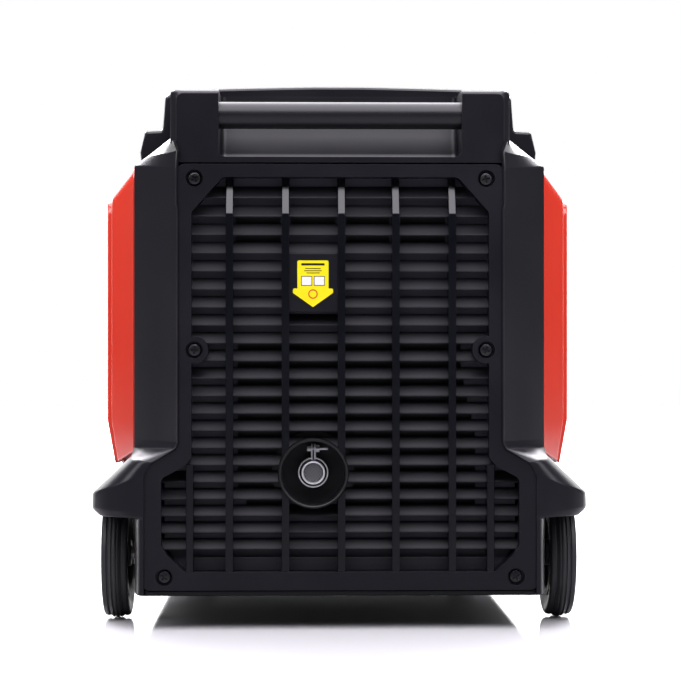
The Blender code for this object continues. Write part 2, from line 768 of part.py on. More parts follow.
def side_cover(name, side, red):
    pivot = (side * (BODY_HALF + GAP), SIDE_FRONT, SIDE_BOTTOM)
    obj = piece(name, prism("Y", side_outline(side), SIDE_REAR - 0.001, SIDE_FRONT + 0.001), red, pivot)
    keep(obj, prism("Z", side_plan(side), SIDE_BOTTOM - PAST, SIDE_TOP + PAST))
    cut(obj, prism("Y", side_outline(side, WALL), SIDE_REAR + SIDE_RAMP, SIDE_FRONT - SIDE_RAMP))
    fender_front = AXLE_Y + 0.084
    clear = FENDER_TOP + 0.006
    notch = [
        (SIDE_REAR - PAST, clear),
        (SIDE_REAR - PAST, SIDE_BOTTOM - PAST),
        (fender_front + 0.007, SIDE_BOTTOM - PAST),
        (fender_front + 0.002, clear - 0.014),
        (fender_front - 0.010, clear),
    ]
    cut(obj, prism("X", notch, -side * BODY_HALF * 0.5, side * WIDTH))
    return obj


def service_cover(red, black):
    """The right cover swings out on its front edge; a quarter-turn latch holds its rear."""
    cover = side_cover("side_cover_right", 1, red)
    flat = BODY_HALF + SIDE_OUT
    place = (SIDE_REAR + SIDE_RAMP + LATCH_INSET, (SIDE_BOTTOM + SIDE_TOP) / 2 + LATCH_RISE)
    cut(cover, rod("X", place, LATCH_RADIUS / 2 + PLAY, flat - 0.010, flat + PAST, FEW_STEPS))
    profile = [(0, flat - 0.006), (LATCH_RADIUS / 2, flat - 0.006), (LATCH_RADIUS / 2, flat + PLAY)]
    profile += [(LATCH_RADIUS, flat + PLAY), (LATCH_RADIUS, flat + 0.003), (0, flat + 0.003)]
    latch = piece("service_latch", turned("X", place, profile, 16), black, (flat, *place))
    y, z = place
    join(latch, box((flat + 0.002, y - 0.003, z - 0.011), (flat + 0.0065, y + 0.003, z + 0.011)))
    ride(latch, cover)


def recoil_side(red, black):
    """The left cover is fixed. A pocket in it holds the starter's pull grip."""
    cover = side_cover("side_cover_left", -1, red)
    flat = -(BODY_HALF + SIDE_OUT)
    y = CRANK_Y + 0.040
    z = CRANK_Z + 0.090
    half_y = RECOIL_POCKET[0] / 2
    half_z = RECOIL_POCKET[1] / 2
    deep = flat + RECOIL_POCKET_DEPTH
    low = (flat + 0.001, y - half_y - WALL, z - half_z - WALL)
    join(cover, box(low, (deep + WALL, y + half_y + WALL, z + half_z + WALL)))
    cut(cover, box((flat - PAST, y - half_y, z - half_z), (deep, y + half_y, z + half_z)))
    cut(cover, rod("X", (y, z), 0.005, flat, deep + PAST, FEW_STEPS))
    grip_half = half_y - 0.008
    outline = rounded(rectangle((y, z), grip_half, 0.010), 0.006)
    piece("recoil_grip", prism("X", outline, flat + 0.002, deep - GAP), black, (flat, y, z))


# Wheels and feet


def wheels(rubber, grey, steel):
    centre = (AXLE_Y, WHEEL_RADIUS)
    half = WHEEL_WIDTH / 2
    for side, name in ((-1, "left"), (1, "right")):
        x = side * (BODY_HALF + WHEEL_GAP + half)
        pivot = (x, *centre)
        tread = [(RIM_RADIUS, -half + 0.003), (WHEEL_RADIUS - 0.009, -half)]
        tread.append((WHEEL_RADIUS - 0.0035, -half + 0.002))
        tread += [(WHEEL_RADIUS, -half + 0.007)]
        tread += [(r, -along) for r, along in reversed(tread)]
        rim = piece(f"rim_{name}", wheel_rim(x, centre), grey, pivot)
        profile = [(r, x + along) for r, along in tread]
        tyre = piece(f"tyre_{name}", turned("X", centre, profile), rubber, pivot)
        ride(tyre, rim)
    end = BODY_HALF + WHEEL_GAP + WHEEL_WIDTH + 0.0035
    neck = end - 0.0025
    stages = [(AXLE_RADIUS + 0.003, end), (AXLE_RADIUS + 0.003, neck), (AXLE_RADIUS, neck)]
    profile = [(0, -end)] + [(r, -x) for r, x in stages] + [(r, x) for r, x in reversed(stages)] + [(0, end)]
    piece("wheel_axle", turned("X", centre, profile, FEW_STEPS), steel)


def wheel_rim(x, centre):
    bore = AXLE_RADIUS + GAP
    hub = 2 * AXLE_RADIUS
    outer = RIM_RADIUS - GAP
    half = WHEEL_WIDTH / 2
    side = [(bore, half), (hub, half), (hub, 0.004)]
    side += [(outer - 0.005, 0.004), (outer - 0.005, 0.009), (outer, 0.009)]
    profile = [(r, x - along) for r, along in side] + [(r, x + along) for r, along in reversed(side)]
    return turned("X", centre, profile)


def feet(rubber):
    y = FRONT - FOOT_FROM_FRONT
    for side, name in ((-1, "foot_left"), (1, "foot_right")):
        place = (side * (BODY_HALF - FOOT_INSET), y)
        profile = [(0, 0), (FOOT_RADIUS - 0.003, 0), (FOOT_RADIUS, BODY_BOTTOM - GAP), (0, BODY_BOTTOM - GAP)]
        piece(name, turned("Z", place, profile, 16), rubber)


# Power unit


def engine(cast, steel, black_steel):
    y, z = CRANK_Y, CRANK_Z
    low = (BLOCK_LEFT, y - BLOCK_HALF_LENGTH, z - BLOCK_HALF_HEIGHT)
    high = (BLOCK_RIGHT, y + BLOCK_HALF_LENGTH, z + BLOCK_HALF_HEIGHT)
    block = piece("engine_block", box(low, high), cast)
    cut(block, rod("X", (y, z), CRANK_RADIUS + GAP, BLOCK_LEFT - PAST, BLOCK_RIGHT + PAST, 16))
    head_low = high[2] + GAP
    left = BLOCK_LEFT + HEAD_INSET
    right = BLOCK_RIGHT - HEAD_INSET - 0.005
    pitch = HEAD_HEIGHT / FIN_COUNT
    edge = []
    for i in range(FIN_COUNT):
        base = head_low + i * pitch
        edge += [(0.0, base), (0.0, base + pitch * 0.5), (0.010, base + pitch * 0.5), (0.010, base + pitch)]
    edge[-1] = (0.0, head_low + HEAD_HEIGHT)
    edge[-2] = (0.0, head_low + HEAD_HEIGHT - pitch * 0.2)
    fins = [(right - inset, level) for inset, level in edge]
    fins += [(left + inset, level) for inset, level in reversed(edge)]
    inset = BLOCK_HALF_LENGTH - 0.020
    piece("cylinder_head", prism("Y", fins, y - inset, y + inset), cast)
    middle = (left + right) / 2
    front = y + inset + GAP
    plug = [(0, front), (0.008, front), (0.008, front + 0.010)]
    plug += [(0.011, front + 0.012), (0.011, front + 0.030)]
    plug += [(0.006, front + 0.040), (0, front + 0.040)]
    piece("spark_plug", turned("Y", (middle, head_low + HEAD_HEIGHT / 2), plug, FEW_STEPS), black_steel)
    muffler(middle, head_low, y - inset, steel)
    intake(right, y, head_low, cast, black_steel)


def muffler(port_x, port_low, head_rear, steel):
    """A pressed box across the exhaust end, with a stub to the cylinder head."""
    rear = muffler_rear()
    front = CRANK_Y - BLOCK_HALF_LENGTH - MUFFLER_GAP
    centre = (EXHAUST_X + 0.005, CRANK_Z + 0.025)
    outline = rounded(rectangle(centre, MUFFLER_HALF, MUFFLER_HEIGHT / 2), 0.030)
    obj = piece("muffler", prism("Y", outline, rear, front), steel)
    port = (port_x, port_low + 0.014)
    join(obj, rod("Y", port, 0.010, front - 0.005, head_rear - GAP, FEW_STEPS))
    inside = rounded(rectangle(centre, MUFFLER_HALF - WALL, MUFFLER_HEIGHT / 2 - WALL), 0.027)
    cut(obj, prism("Y", inside, rear + WALL, front - WALL))
    cut(obj, rod("Y", port, 0.007, front - PAST, head_rear + PAST, FEW_STEPS))
    cut(obj, rod("Y", (EXHAUST_X, EXHAUST_Z), PIPE_RADIUS - PIPE_WALL, rear - PAST, rear + PAST, FEW_STEPS))


def intake(head_right, y, head_low, cast, black_steel):
    """Carburettor on the side of the head, and the air cleaner box outside it."""
    centre = (y, head_low + 0.052)
    near = head_right + GAP
    carburettor = tube("X", centre, 0.020, 0.010, near, near + 0.034, 16)
    piece("carburettor", carburettor, cast)
    near += 0.034 + GAP
    far = BODY_HALF - WALL - 0.018
    outline = rounded(rectangle((y, head_low + 0.050), 0.055, 0.036), 0.012)
    piece("air_cleaner", prism("X", outline, near, far), black_steel)


def rotor(steel, cast, black_steel):
    """Crankshaft through the block, the stator round it, and the flywheel and fan on its end."""
    centre = (CRANK_Y, CRANK_Z)
    stator_left = BLOCK_LEFT - GAP - 0.030
    piece("stator", tube("X", centre, STATOR_RADIUS, 0.030, stator_left, BLOCK_LEFT - GAP), steel)
    disc = stator_left - 0.004
    left = disc - 0.008
    shaft_end = left - GAP - FAN_DEPTH - 0.004
    bore = CRANK_RADIUS + GAP
    pivot = (0.0, *centre)
    journal = rod("X", centre, CRANK_RADIUS, shaft_end, BLOCK_RIGHT + 0.008, 16)
    shaft = piece("crankshaft", journal, steel, pivot)
    rim = STATOR_RADIUS + 0.004
    cup = [(bore, left), (FLYWHEEL_RADIUS, left), (FLYWHEEL_RADIUS, left + FLYWHEEL_DEPTH)]
    cup += [(rim, left + FLYWHEEL_DEPTH), (rim, disc), (bore, disc)]
    ride(piece("flywheel", turned("X", centre, cup), cast, pivot), shaft)
    hub = tube("X", centre, 0.024, bore, left - GAP - FAN_DEPTH, left - GAP)
    fan = piece("cooling_fan", hub, black_steel, pivot)
    join(fan, *[fan_blade(i, left) for i in range(FAN_BLADES)])
    ride(fan, shaft)


def fan_blade(number, left):
    turn = math.tau * number / FAN_BLADES
    outline = []
    tip = FLYWHEEL_RADIUS - 0.003
    for radius, across in ((0.020, -0.0015), (tip, -0.0015), (tip, 0.0015), (0.020, 0.0015)):
        y = radius * math.cos(turn) - across * math.sin(turn)
        z = radius * math.sin(turn) + across * math.cos(turn)
        outline.append((CRANK_Y + y, CRANK_Z + z))
    return prism("X", outline, left - GAP - FAN_DEPTH + 0.001, left - GAP - 0.001)


def recoil_housing(black_steel):
    """A drum over the fan, bolted to the block, with the starter's spring case as its end."""
    outer = SHROUD_RADIUS
    inner = outer - WALL
    right = BLOCK_LEFT - GAP
    fan_left = right - 0.030 - 0.012 - 2 * GAP - FAN_DEPTH
    face = fan_left - 0.014
    profile = [(inner, right), (outer, right), (outer, face), (0.030, face - 0.006)]
    profile += [(0.030, face - 0.003), (inner, face + WALL)]
    piece("recoil_housing", turned("X", (CRANK_Y, CRANK_Z), profile), black_steel)


# Fuel


def fuel(cap_black, rubber, grey):
    bottom = CRANK_Z + BLOCK_HALF_HEIGHT + HEAD_HEIGHT + 0.015
    top = DECK - WALL - GAP
    half = BODY_HALF - TANK_INSET
    outline = rounded(rectangle((0, CAP_Y), half, TANK_LENGTH / 2), 0.030)
    inner = rounded(rectangle((0, CAP_Y), half - WALL, TANK_LENGTH / 2 - WALL), 0.027)
    tank = piece("fuel_tank", prism("Z", outline, bottom, top), grey)
    join(tank, rod("Z", (0, CAP_Y), NECK_RADIUS, top - 0.0015, NECK_TOP))
    cut(tank, prism("Z", inner, bottom + WALL, top - WALL))
    cut(tank, rod("Z", (0, CAP_Y), NECK_RADIUS - WALL, top - 0.010, NECK_TOP + PAST))
    pivot = (0, CAP_Y, NECK_TOP)
    seal = tube("Z", (0, CAP_Y), NECK_RADIUS - 0.0005, NECK_RADIUS - 0.006, NECK_TOP + GAP, NECK_TOP + 0.0025)
    ring = piece("fuel_cap_seal", seal, rubber, pivot)
    inside = NECK_RADIUS + PLAY
    ceiling = NECK_TOP + 0.0025 + GAP
    crown = HEIGHT - 0.003
    profile = [(0, crown), (CAP_RADIUS - 0.004, crown), (CAP_RADIUS, crown - 0.004)]
    profile.append((CAP_RADIUS, NECK_TOP - 0.015))
    profile += [(inside, NECK_TOP - 0.015), (inside, ceiling), (0, ceiling)]
    cap = piece("fuel_cap", turned("Z", (0, CAP_Y), profile), cap_black, pivot)
    ride(cap, ring)


# Control end


def panel_hole(place, radius):
    return rod("Y", place, radius + PLAY, FRONT - PANEL_THICKNESS - PAST, FRONT + PAST, 16)


def fitting(name, place, radius, proud, material, steps=16):
    """A round fitting through the panel with its pivot in its middle."""
    back = FRONT - PANEL_THICKNESS - PANEL_BACK
    shape = rod("Y", place, radius, back, FRONT + proud, steps)
    return piece(name, shape, material, (place[0], FRONT, place[1]))


def control_panel(black, grey, steel, red):
    obj = piece("control_panel", prism("Y", both_sides(cover_half()), FRONT - PANEL_THICKNESS, FRONT), grey)
    outlets = {
        "ac_outlet_left": ((-OUTLET_SPACING / 2, OUTLET_Z), OUTLET_RADIUS),
        "ac_outlet_right": ((OUTLET_SPACING / 2, OUTLET_Z), OUTLET_RADIUS),
        "dc_outlet": ((-OUTLET_SPACING / 2, DC_OUTLET_Z), DC_OUTLET_RADIUS),
    }
    holes = []
    for name, (place, radius) in outlets.items():
        outlet = fitting(name, place, radius, PANEL_PROUD, black)
        face = FRONT + PANEL_PROUD
        cut(outlet, rod("Y", place, radius - 0.003, face - 0.004, face + PAST, 16))
        holes.append(panel_hole(place, radius))
    switch_place = (OUTLET_SPACING, SWITCH_Z)
    switch = fitting("engine_switch", switch_place, SWITCH_RADIUS, PANEL_PROUD, black, STEPS)
    x, z = switch_place
    grip_low = (x - 0.004, FRONT + PANEL_PROUD - 0.001, z - SWITCH_RADIUS + 0.002)
    grip_high = (x + 0.004, FRONT + 0.016, z + SWITCH_RADIUS - 0.002)
    join(switch, box(grip_low, grip_high))
    start_place = (0.0, SWITCH_Z)
    breaker_place = (OUTLET_SPACING / 2, DC_OUTLET_Z)
    terminal_place = (OUTLET_SPACING * 1.4, OUTLET_Z - 0.045)
    fitting("start_button", start_place, BUTTON_RADIUS, PRESS_DEPTH + 0.002, red)
    fitting("breaker_button", breaker_place, BREAKER_RADIUS, PRESS_DEPTH + 0.002, black, FEW_STEPS)
    fitting("ground_terminal", terminal_place, TERMINAL_RADIUS, 0.014, steel, FEW_STEPS)
    holes += [panel_hole(switch_place, SWITCH_RADIUS), panel_hole(start_place, BUTTON_RADIUS)]
    holes += [panel_hole(breaker_place, BREAKER_RADIUS), panel_hole(terminal_place, TERMINAL_RADIUS)]
    key_x = -OUTLET_SPACING
    key = (FRONT - KEY_RADIUS / 2, SWITCH_Z)
    barrel = rod("X", key, KEY_RADIUS, key_x - 0.009, key_x + 0.009, 16)
    rocker = piece("eco_switch", barrel, black, (key_x, *key))
    low = (key_x - 0.012, FRONT + 0.002, SWITCH_Z)
    cut(rocker, box(low, (key_x + 0.012, FRONT + PAST, SWITCH_Z + 0.015)))
    room = KEY_RADIUS + PLAY
    side = 0.009 + PLAY
    low = (key_x - side, FRONT - PAST, SWITCH_Z - room)
    holes.append(box(low, (key_x + side, FRONT + PAST, SWITCH_Z + room)))
    cut(obj, *holes)


def electrical_boxes(cast, black):
    """Inverter with cooling fins on its top, and the starting battery beside it."""
    floor = COVER_BOTTOM
    front = FRONT - 0.035
    rear = front - BOX_LENGTH
    left = -(BODY_HALF - 0.025)
    top = floor + BOX_HEIGHT
    fins = [(left, floor)]
    pitch = INVERTER_WIDTH / 8
    for i in range(8):
        x = left + i * pitch
        fins += [(x, top), (x + pitch / 2, top), (x + pitch / 2, top - 0.012), (x + pitch, top - 0.012)]
    fins[-1] = (left + INVERTER_WIDTH, top - 0.012)
    fins.append((left + INVERTER_WIDTH, floor))
    piece("inverter_module", prism("Y", fins, rear, front), cast)
    right = BODY_HALF - 0.025
    piece("battery", box((right - BATTERY_WIDTH, rear, floor), (right, front, top)), black)


def main():
    for obj in list(bpy.data.objects):
        bpy.data.objects.remove(obj)
    black = finish("satin_black_plastic", (0.020, 0.020, 0.025), 0.42)
    gloss = finish("gloss_black_plastic", (0.012, 0.012, 0.015), 0.12)
    grey = finish("panel_grey_plastic", (0.055, 0.056, 0.060), 0.45)
    red = finish("gloss_red_plastic", (0.70, 0.030, 0.016), 0.14)
    rubber = finish("black_rubber", (0.018, 0.018, 0.020), 0.70)
    steel = finish("bright_steel", (0.56, 0.55, 0.53), 0.32, 1.0)
    zinc = finish("zinc_plated_steel", (0.60, 0.57, 0.48), 0.35, 1.0)
    black_steel = finish("black_steel", (0.015, 0.015, 0.017), 0.50, 0.6)
    cast = finish("cast_aluminium", (0.48, 0.48, 0.49), 0.50, 1.0)
    body_shells(black)
    base_pan(black)
    rear_cover(black)
    rear_screws(black_steel)
    rear_louvres(black)
    exhaust(steel, zinc, black_steel)
    top_cover(black)
    rear_handle(black, gloss)
    pull_handle(black, steel, gloss)
    service_cover(red, black)
    recoil_side(red, black)
    wheels(rubber, grey, steel)
    feet(rubber)
    engine(cast, steel, black_steel)
    rotor(steel, cast, black_steel)
    recoil_housing(black_steel)
    fuel(black, rubber, grey)
    control_panel(black, grey, steel, red)
    electrical_boxes(cast, black)


main()
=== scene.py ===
import json
import math

import bmesh
import bpy
from mathutils import Matrix, Vector

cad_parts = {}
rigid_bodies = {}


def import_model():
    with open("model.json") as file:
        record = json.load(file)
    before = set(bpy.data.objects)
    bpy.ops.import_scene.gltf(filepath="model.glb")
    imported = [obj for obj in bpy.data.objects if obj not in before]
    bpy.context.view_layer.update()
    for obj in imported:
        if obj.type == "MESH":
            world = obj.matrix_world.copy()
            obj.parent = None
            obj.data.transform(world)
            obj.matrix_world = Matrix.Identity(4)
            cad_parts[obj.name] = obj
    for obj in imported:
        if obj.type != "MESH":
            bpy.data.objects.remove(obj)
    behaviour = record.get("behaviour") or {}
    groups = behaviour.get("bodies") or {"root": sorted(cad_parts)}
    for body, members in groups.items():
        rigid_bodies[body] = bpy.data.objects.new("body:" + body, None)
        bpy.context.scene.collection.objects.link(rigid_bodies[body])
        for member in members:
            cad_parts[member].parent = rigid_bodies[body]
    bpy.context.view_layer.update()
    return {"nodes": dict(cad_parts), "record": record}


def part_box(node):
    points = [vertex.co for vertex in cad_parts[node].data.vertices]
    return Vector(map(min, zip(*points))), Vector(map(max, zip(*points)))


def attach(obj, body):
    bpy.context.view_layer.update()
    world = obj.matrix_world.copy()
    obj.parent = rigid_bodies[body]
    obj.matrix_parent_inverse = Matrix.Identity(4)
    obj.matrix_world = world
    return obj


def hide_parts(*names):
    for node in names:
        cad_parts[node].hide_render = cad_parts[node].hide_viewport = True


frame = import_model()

# Studio. A pale gloss floor runs under a plain white background. One broad softbox hangs overhead
# and gives most of the light; weak side lights, two keys, two rim lights behind the shoulders and
# one at the control end model the edges and keep the black mouldings dark.
rear_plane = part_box("rear_cover")[0].y
lens_height = 0.2545
lens_turn = math.radians(1.3)
lens_distance = 1.90
lens_length = 107.5
sensor_width = 36.0

camera_data = bpy.data.cameras.new("camera")
camera_data.lens = lens_length
camera_data.sensor_width = sensor_width
camera = bpy.data.objects.new("camera", camera_data)
camera.location = (-lens_distance * math.tan(lens_turn), rear_plane - lens_distance, lens_height)
camera.rotation_euler = (math.radians(90), 0, -lens_turn)
bpy.context.scene.collection.objects.link(camera)
bpy.context.scene.camera = camera
bpy.context.scene.view_settings.view_transform = "Standard"
softbox_tint = (0.96, 0.93, 1.0)


def softbox(name, place, aim, width, height, power):
    """A rectangular studio light at a place, turned to its aim."""
    light = bpy.data.lights.new(name, "AREA")
    light.shape = "RECTANGLE"
    light.size = width
    light.size_y = height
    light.energy = power
    light.color = softbox_tint
    holder = bpy.data.objects.new(name, light)
    holder.location = place
    holder.rotation_euler = (Vector(aim) - Vector(place)).to_track_quat("-Z", "Y").to_euler()
    bpy.context.scene.collection.objects.link(holder)


softbox("overhead", (0.0, -0.65, 2.1), (0, -0.65, 0.25), 2.8, 4.2, 215)
softbox("left_side", (-2.1, -0.5, 0.7), (0, -0.15, 0.3), 1.2, 1.4, 1.5)
softbox("right_side", (2.1, -0.5, 0.7), (0, -0.15, 0.3), 1.2, 1.4, 1.5)
softbox("left_key", (-2.1, -2.0, 1.7), (0, -0.2, 0.25), 1.2, 1.2, 26)
softbox("right_key", (2.1, -2.0, 1.7), (0, -0.2, 0.25), 1.2, 1.2, 26)
softbox("left_rim", (-0.95, 1.2, 1.45), (-0.2, -0.15, 0.44), 0.7, 0.7, 30)
softbox("right_rim", (0.95, 1.2, 1.45), (0.2, -0.15, 0.44), 0.7, 0.7, 30)
softbox("control_end", (0.0, 2.6, 1.2), (0, 0.2, 0.25), 2.4, 1.4, 12)

world = bpy.data.worlds.new("studio_air")
world.use_nodes = True
bpy.context.scene.world = world
air = world.node_tree
backdrop_light = air.nodes["Background"]
backdrop_light.inputs["Color"].default_value = (0.035, 0.035, 0.04, 1)
seen = air.nodes.new("ShaderNodeBackground")
seen.inputs["Color"].default_value = (1, 1, 1, 1)
ray = air.nodes.new("ShaderNodeLightPath")
either = air.nodes.new("ShaderNodeMixShader")
air.links.new(ray.outputs["Is Camera Ray"], either.inputs[0])
air.links.new(backdrop_light.outputs[0], either.inputs[1])
air.links.new(seen.outputs[0], either.inputs[2])
air.links.new(either.outputs[0], air.nodes["World Output"].inputs[0])


def sheet_of(name, size, place, turn):
    """A flat square that belongs to the studio."""
    mesh = bmesh.new()
    bmesh.ops.create_grid(mesh, x_segments=1, y_segments=1, size=size / 2)
    data = bpy.data.meshes.new(name)
    mesh.transform(Matrix.Translation(place) @ Matrix.Rotation(turn, 4, "X"))
    mesh.to_mesh(data)
    mesh.free()
    made = bpy.data.objects.new(name, data)
    bpy.context.scene.collection.objects.link(made)
    return made


floor_size = 14
floor_level = -0.0001
backdrop_place = (0, 5.5, 3)
floor = sheet_of("floor", floor_size, (0, 0, floor_level), 0)
floor_paint = bpy.data.materials.new("gloss_white_floor")
floor_paint.use_nodes = True
tree = floor_paint.node_tree
paint = tree.nodes["Principled BSDF"]
paint.inputs["Roughness"].default_value = 0.05
floor.data.materials.append(floor_paint)


def worked(operation, *sources):
    """A math node of the floor's paint, fed by one or two sockets."""
    sum_node = tree.nodes.new("ShaderNodeMath")
    sum_node.operation = operation
    for socket, source in zip(sum_node.inputs, sources):
        tree.links.new(source, socket)
    return sum_node.outputs[0]


def ramped(source, start, end, top=1.0):
    """A soft step of the floor's paint between two values of a socket."""
    ramp = tree.nodes.new("ShaderNodeMapRange")
    ramp.interpolation_type = "SMOOTHSTEP"
    ramp.inputs["From Min"].default_value = start
    ramp.inputs["From Max"].default_value = end
    ramp.inputs["To Max"].default_value = top
    tree.links.new(source, ramp.inputs["Value"])
    return ramp.outputs["Result"]


def mixed(factor):
    """A colour mix of the floor's paint."""
    mix = tree.nodes.new("ShaderNodeMix")
    mix.data_type = "RGBA"
    tree.links.new(factor, mix.inputs["Factor"])
    return mix


floor_place = tree.nodes.new("ShaderNodeTexCoord").outputs["Object"]
from_middle = tree.nodes.new("ShaderNodeVectorMath")
from_middle.operation = "LENGTH"
tree.links.new(floor_place, from_middle.inputs[0])
along = tree.nodes.new("ShaderNodeSeparateXYZ")
tree.links.new(floor_place, along.inputs[0])
direct = tree.nodes.new("ShaderNodeLightPath").outputs["Is Camera Ray"]
far_glow = ramped(from_middle.outputs["Value"], 0.8, 3.2, 1.1)
tree.links.new(worked("MULTIPLY", far_glow, direct), paint.inputs["Emission Strength"])
aside = ramped(worked("ABSOLUTE", along.outputs["X"]), 0.32, 0.46)
beside = worked("MULTIPLY", aside, ramped(along.outputs["Y"], -0.34, -0.24))
bounce = mixed(beside)
bounce.inputs["A"].default_value = (0.24, 0.24, 0.25, 1)
bounce.inputs["B"].default_value = (0.70, 0.70, 0.71, 1)
whiteness = mixed(direct)
tree.links.new(bounce.outputs["Result"], whiteness.inputs["A"])
whiteness.inputs["B"].default_value = (0.80, 0.80, 0.81, 1)
tree.links.new(whiteness.outputs["Result"], paint.inputs["Base Color"])
paint.inputs["Emission Color"].default_value = (1, 1, 1, 1)

backdrop = sheet_of("backdrop", floor_size, backdrop_place, math.radians(90))
backdrop_paint = bpy.data.materials.new("lit_white_backdrop")
backdrop_paint.use_nodes = True
paint = backdrop_paint.node_tree.nodes["Principled BSDF"]
paint.inputs["Base Color"].default_value = (0.9, 0.9, 0.9, 1)
paint.inputs["Emission Color"].default_value = (1, 1, 1, 1)
paint.inputs["Emission Strength"].default_value = 3.0
backdrop.data.materials.append(backdrop_paint)
backdrop.visible_camera = False


# Body shells. Two satin black hoods, injection-moulded in polypropylene with a fine spark-eroded
# grain, meet behind the side covers. Each tapers from its full width to the cover in its end, and
# the rear one flares out into the wheel fenders.
def finish(name, light, dark, rough, patch=14, grain=1400, bump=0.10, depth=0.0001, **sockets):
    """A procedural finish: two tones in soft patches, uneven sheen and a fine grain."""
    material = bpy.data.materials.new(name)
    material.use_nodes = True
    tree = material.node_tree
    shader = tree.nodes["Principled BSDF"]
    place = tree.nodes.new("ShaderNodeTexCoord").outputs["Object"]
    soft = tree.nodes.new("ShaderNodeTexNoise")
    soft.inputs["Scale"].default_value = patch
    soft.inputs["Detail"].default_value = 5
    tree.links.new(place, soft.inputs["Vector"])
    tones = tree.nodes.new("ShaderNodeMix")
    tones.data_type = "RGBA"
    tones.inputs["A"].default_value = (*dark, 1)
    tones.inputs["B"].default_value = (*light, 1)
    tree.links.new(soft.outputs["Fac"], tones.inputs["Factor"])
    tree.links.new(tones.outputs["Result"], shader.inputs["Base Color"])
    sheen = tree.nodes.new("ShaderNodeMapRange")
    sheen.inputs["From Min"].default_value = 0.3
    sheen.inputs["From Max"].default_value = 0.7
    sheen.inputs["To Min"].default_value = rough[0]
    sheen.inputs["To Max"].default_value = rough[1]
    tree.links.new(soft.outputs["Fac"], sheen.inputs["Value"])
    tree.links.new(sheen.outputs["Result"], shader.inputs["Roughness"])
    fine = tree.nodes.new("ShaderNodeTexNoise")
    fine.inputs["Scale"].default_value = grain
    fine.inputs["Detail"].default_value = 3
    tree.links.new(place, fine.inputs["Vector"])
    relief = tree.nodes.new("ShaderNodeBump")
    relief.inputs["Strength"].default_value = bump
    relief.inputs["Distance"].default_value = depth
    tree.links.new(fine.outputs["Fac"], relief.inputs["Height"])
    tree.links.new(relief.outputs["Normal"], shader.inputs["Normal"])
    for socket, value in sockets.items():
        shader.inputs[socket.replace("_", " ")].default_value = value
    return material


def arcs(corners, radius, steps=4):
    """The outline with its corners rounded. A corner may bring its own radius as a third number."""
    points = []
    for i, corner in enumerate(corners):
        here = Vector(corner[:2])
        before = Vector(corners[i - 1][:2]) - here
        after = Vector(corners[(i + 1) % len(corners)][:2]) - here
        bend = before.angle(after) / 2
        wanted = corner[2] if len(corner) > 2 else radius
        if not wanted:
            points.append(tuple(here))
            continue
        reach = min(max(wanted / math.tan(bend), 0.0002), 0.48 * min(before.length, after.length))
        for k in range(steps + 1):
            t = k / steps
            spot = here + before.normalized() * reach * (1 - t) ** 2 + after.normalized() * reach * t * t
            points.append(tuple(spot))
    return points


def mirrored(half):
    """A whole outline from its right half."""
    return half + [(-corner[0], *corner[1:]) for corner in reversed(half)]


def on(axis, a, b, along):
    """A point from its distance along an axis and its two places across it."""
    return {"X": (along, a, b), "Y": (a, along, b), "Z": (a, b, along)}[axis]


def turned(axis, centre, profile, steps=64, closed=False):
    """A profile of (radius, distance along the axis) spun right round."""
    mesh = bmesh.new()
    points = [on(axis, 0 if axis != "Z" else r, r if axis != "Z" else 0, along) for r, along in profile]
    verts = [mesh.verts.new(point) for point in points]
    edges = [mesh.edges.new(pair) for pair in zip(verts, verts[1:])]
    if closed:
        edges.append(mesh.edges.new((verts[-1], verts[0])))
    bmesh.ops.spin(
        mesh, geom=verts + edges, cent=(0, 0, 0), axis=on(axis, 0, 0, 1),
        angle=math.tau, steps=steps, use_merge=True,
    )
    bmesh.ops.remove_doubles(mesh, verts=mesh.verts, dist=1e-6)
    bmesh.ops.recalc_face_normals(mesh, faces=mesh.faces)
    bmesh.ops.translate(mesh, verts=mesh.verts, vec=on(axis, *centre, 0))
    return mesh


def plug(axis, centre, radius, start, end, steps=64):
    """A plain round plug, to cut a hole with or to fill one."""
    return turned(axis, centre, [(0, start), (radius, start), (radius, end), (0, end)], steps)


def sleeve(axis, centre, inner, outer, start, end, steps):
    """A plain round tube or washer."""
    profile = [(inner, start), (outer, start), (outer, end), (inner, end)]
    return turned(axis, centre, profile, steps, closed=True)


def merged(*meshes):
    """Several meshes in one."""
    whole = bmesh.new()
    for mesh in meshes:
        data = bpy.data.meshes.new("part")
        mesh.to_mesh(data)
        mesh.free()
        whole.from_mesh(data)
        bpy.data.meshes.remove(data)
    return whole


def piece(name, mesh, material, body="chassis", replaced=(), smooth=38):
    """A named object from a mesh, riding on a body of the frame."""
    data = bpy.data.meshes.new(name)
    mesh.to_mesh(data)
    mesh.free()
    data.materials.append(material)
    data.shade_smooth()
    data.set_sharp_from_angle(angle=math.radians(smooth))
    made = bpy.data.objects.new(name, data)
    bpy.context.scene.collection.objects.link(made)
    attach(made, body)
    if replaced:
        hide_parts(*replaced)
    return made


def walled(made, thickness, offset=-1):
    """Gives an open skin the wall of its moulding."""
    wall = made.modifiers.new("wall", "SOLIDIFY")
    wall.thickness = thickness
    wall.offset = offset
    return made


def centre(node, axes):
    """The middle of a node's box along two axes."""
    low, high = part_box(node)
    return tuple((getattr(low, axis) + getattr(high, axis)) / 2 for axis in axes)


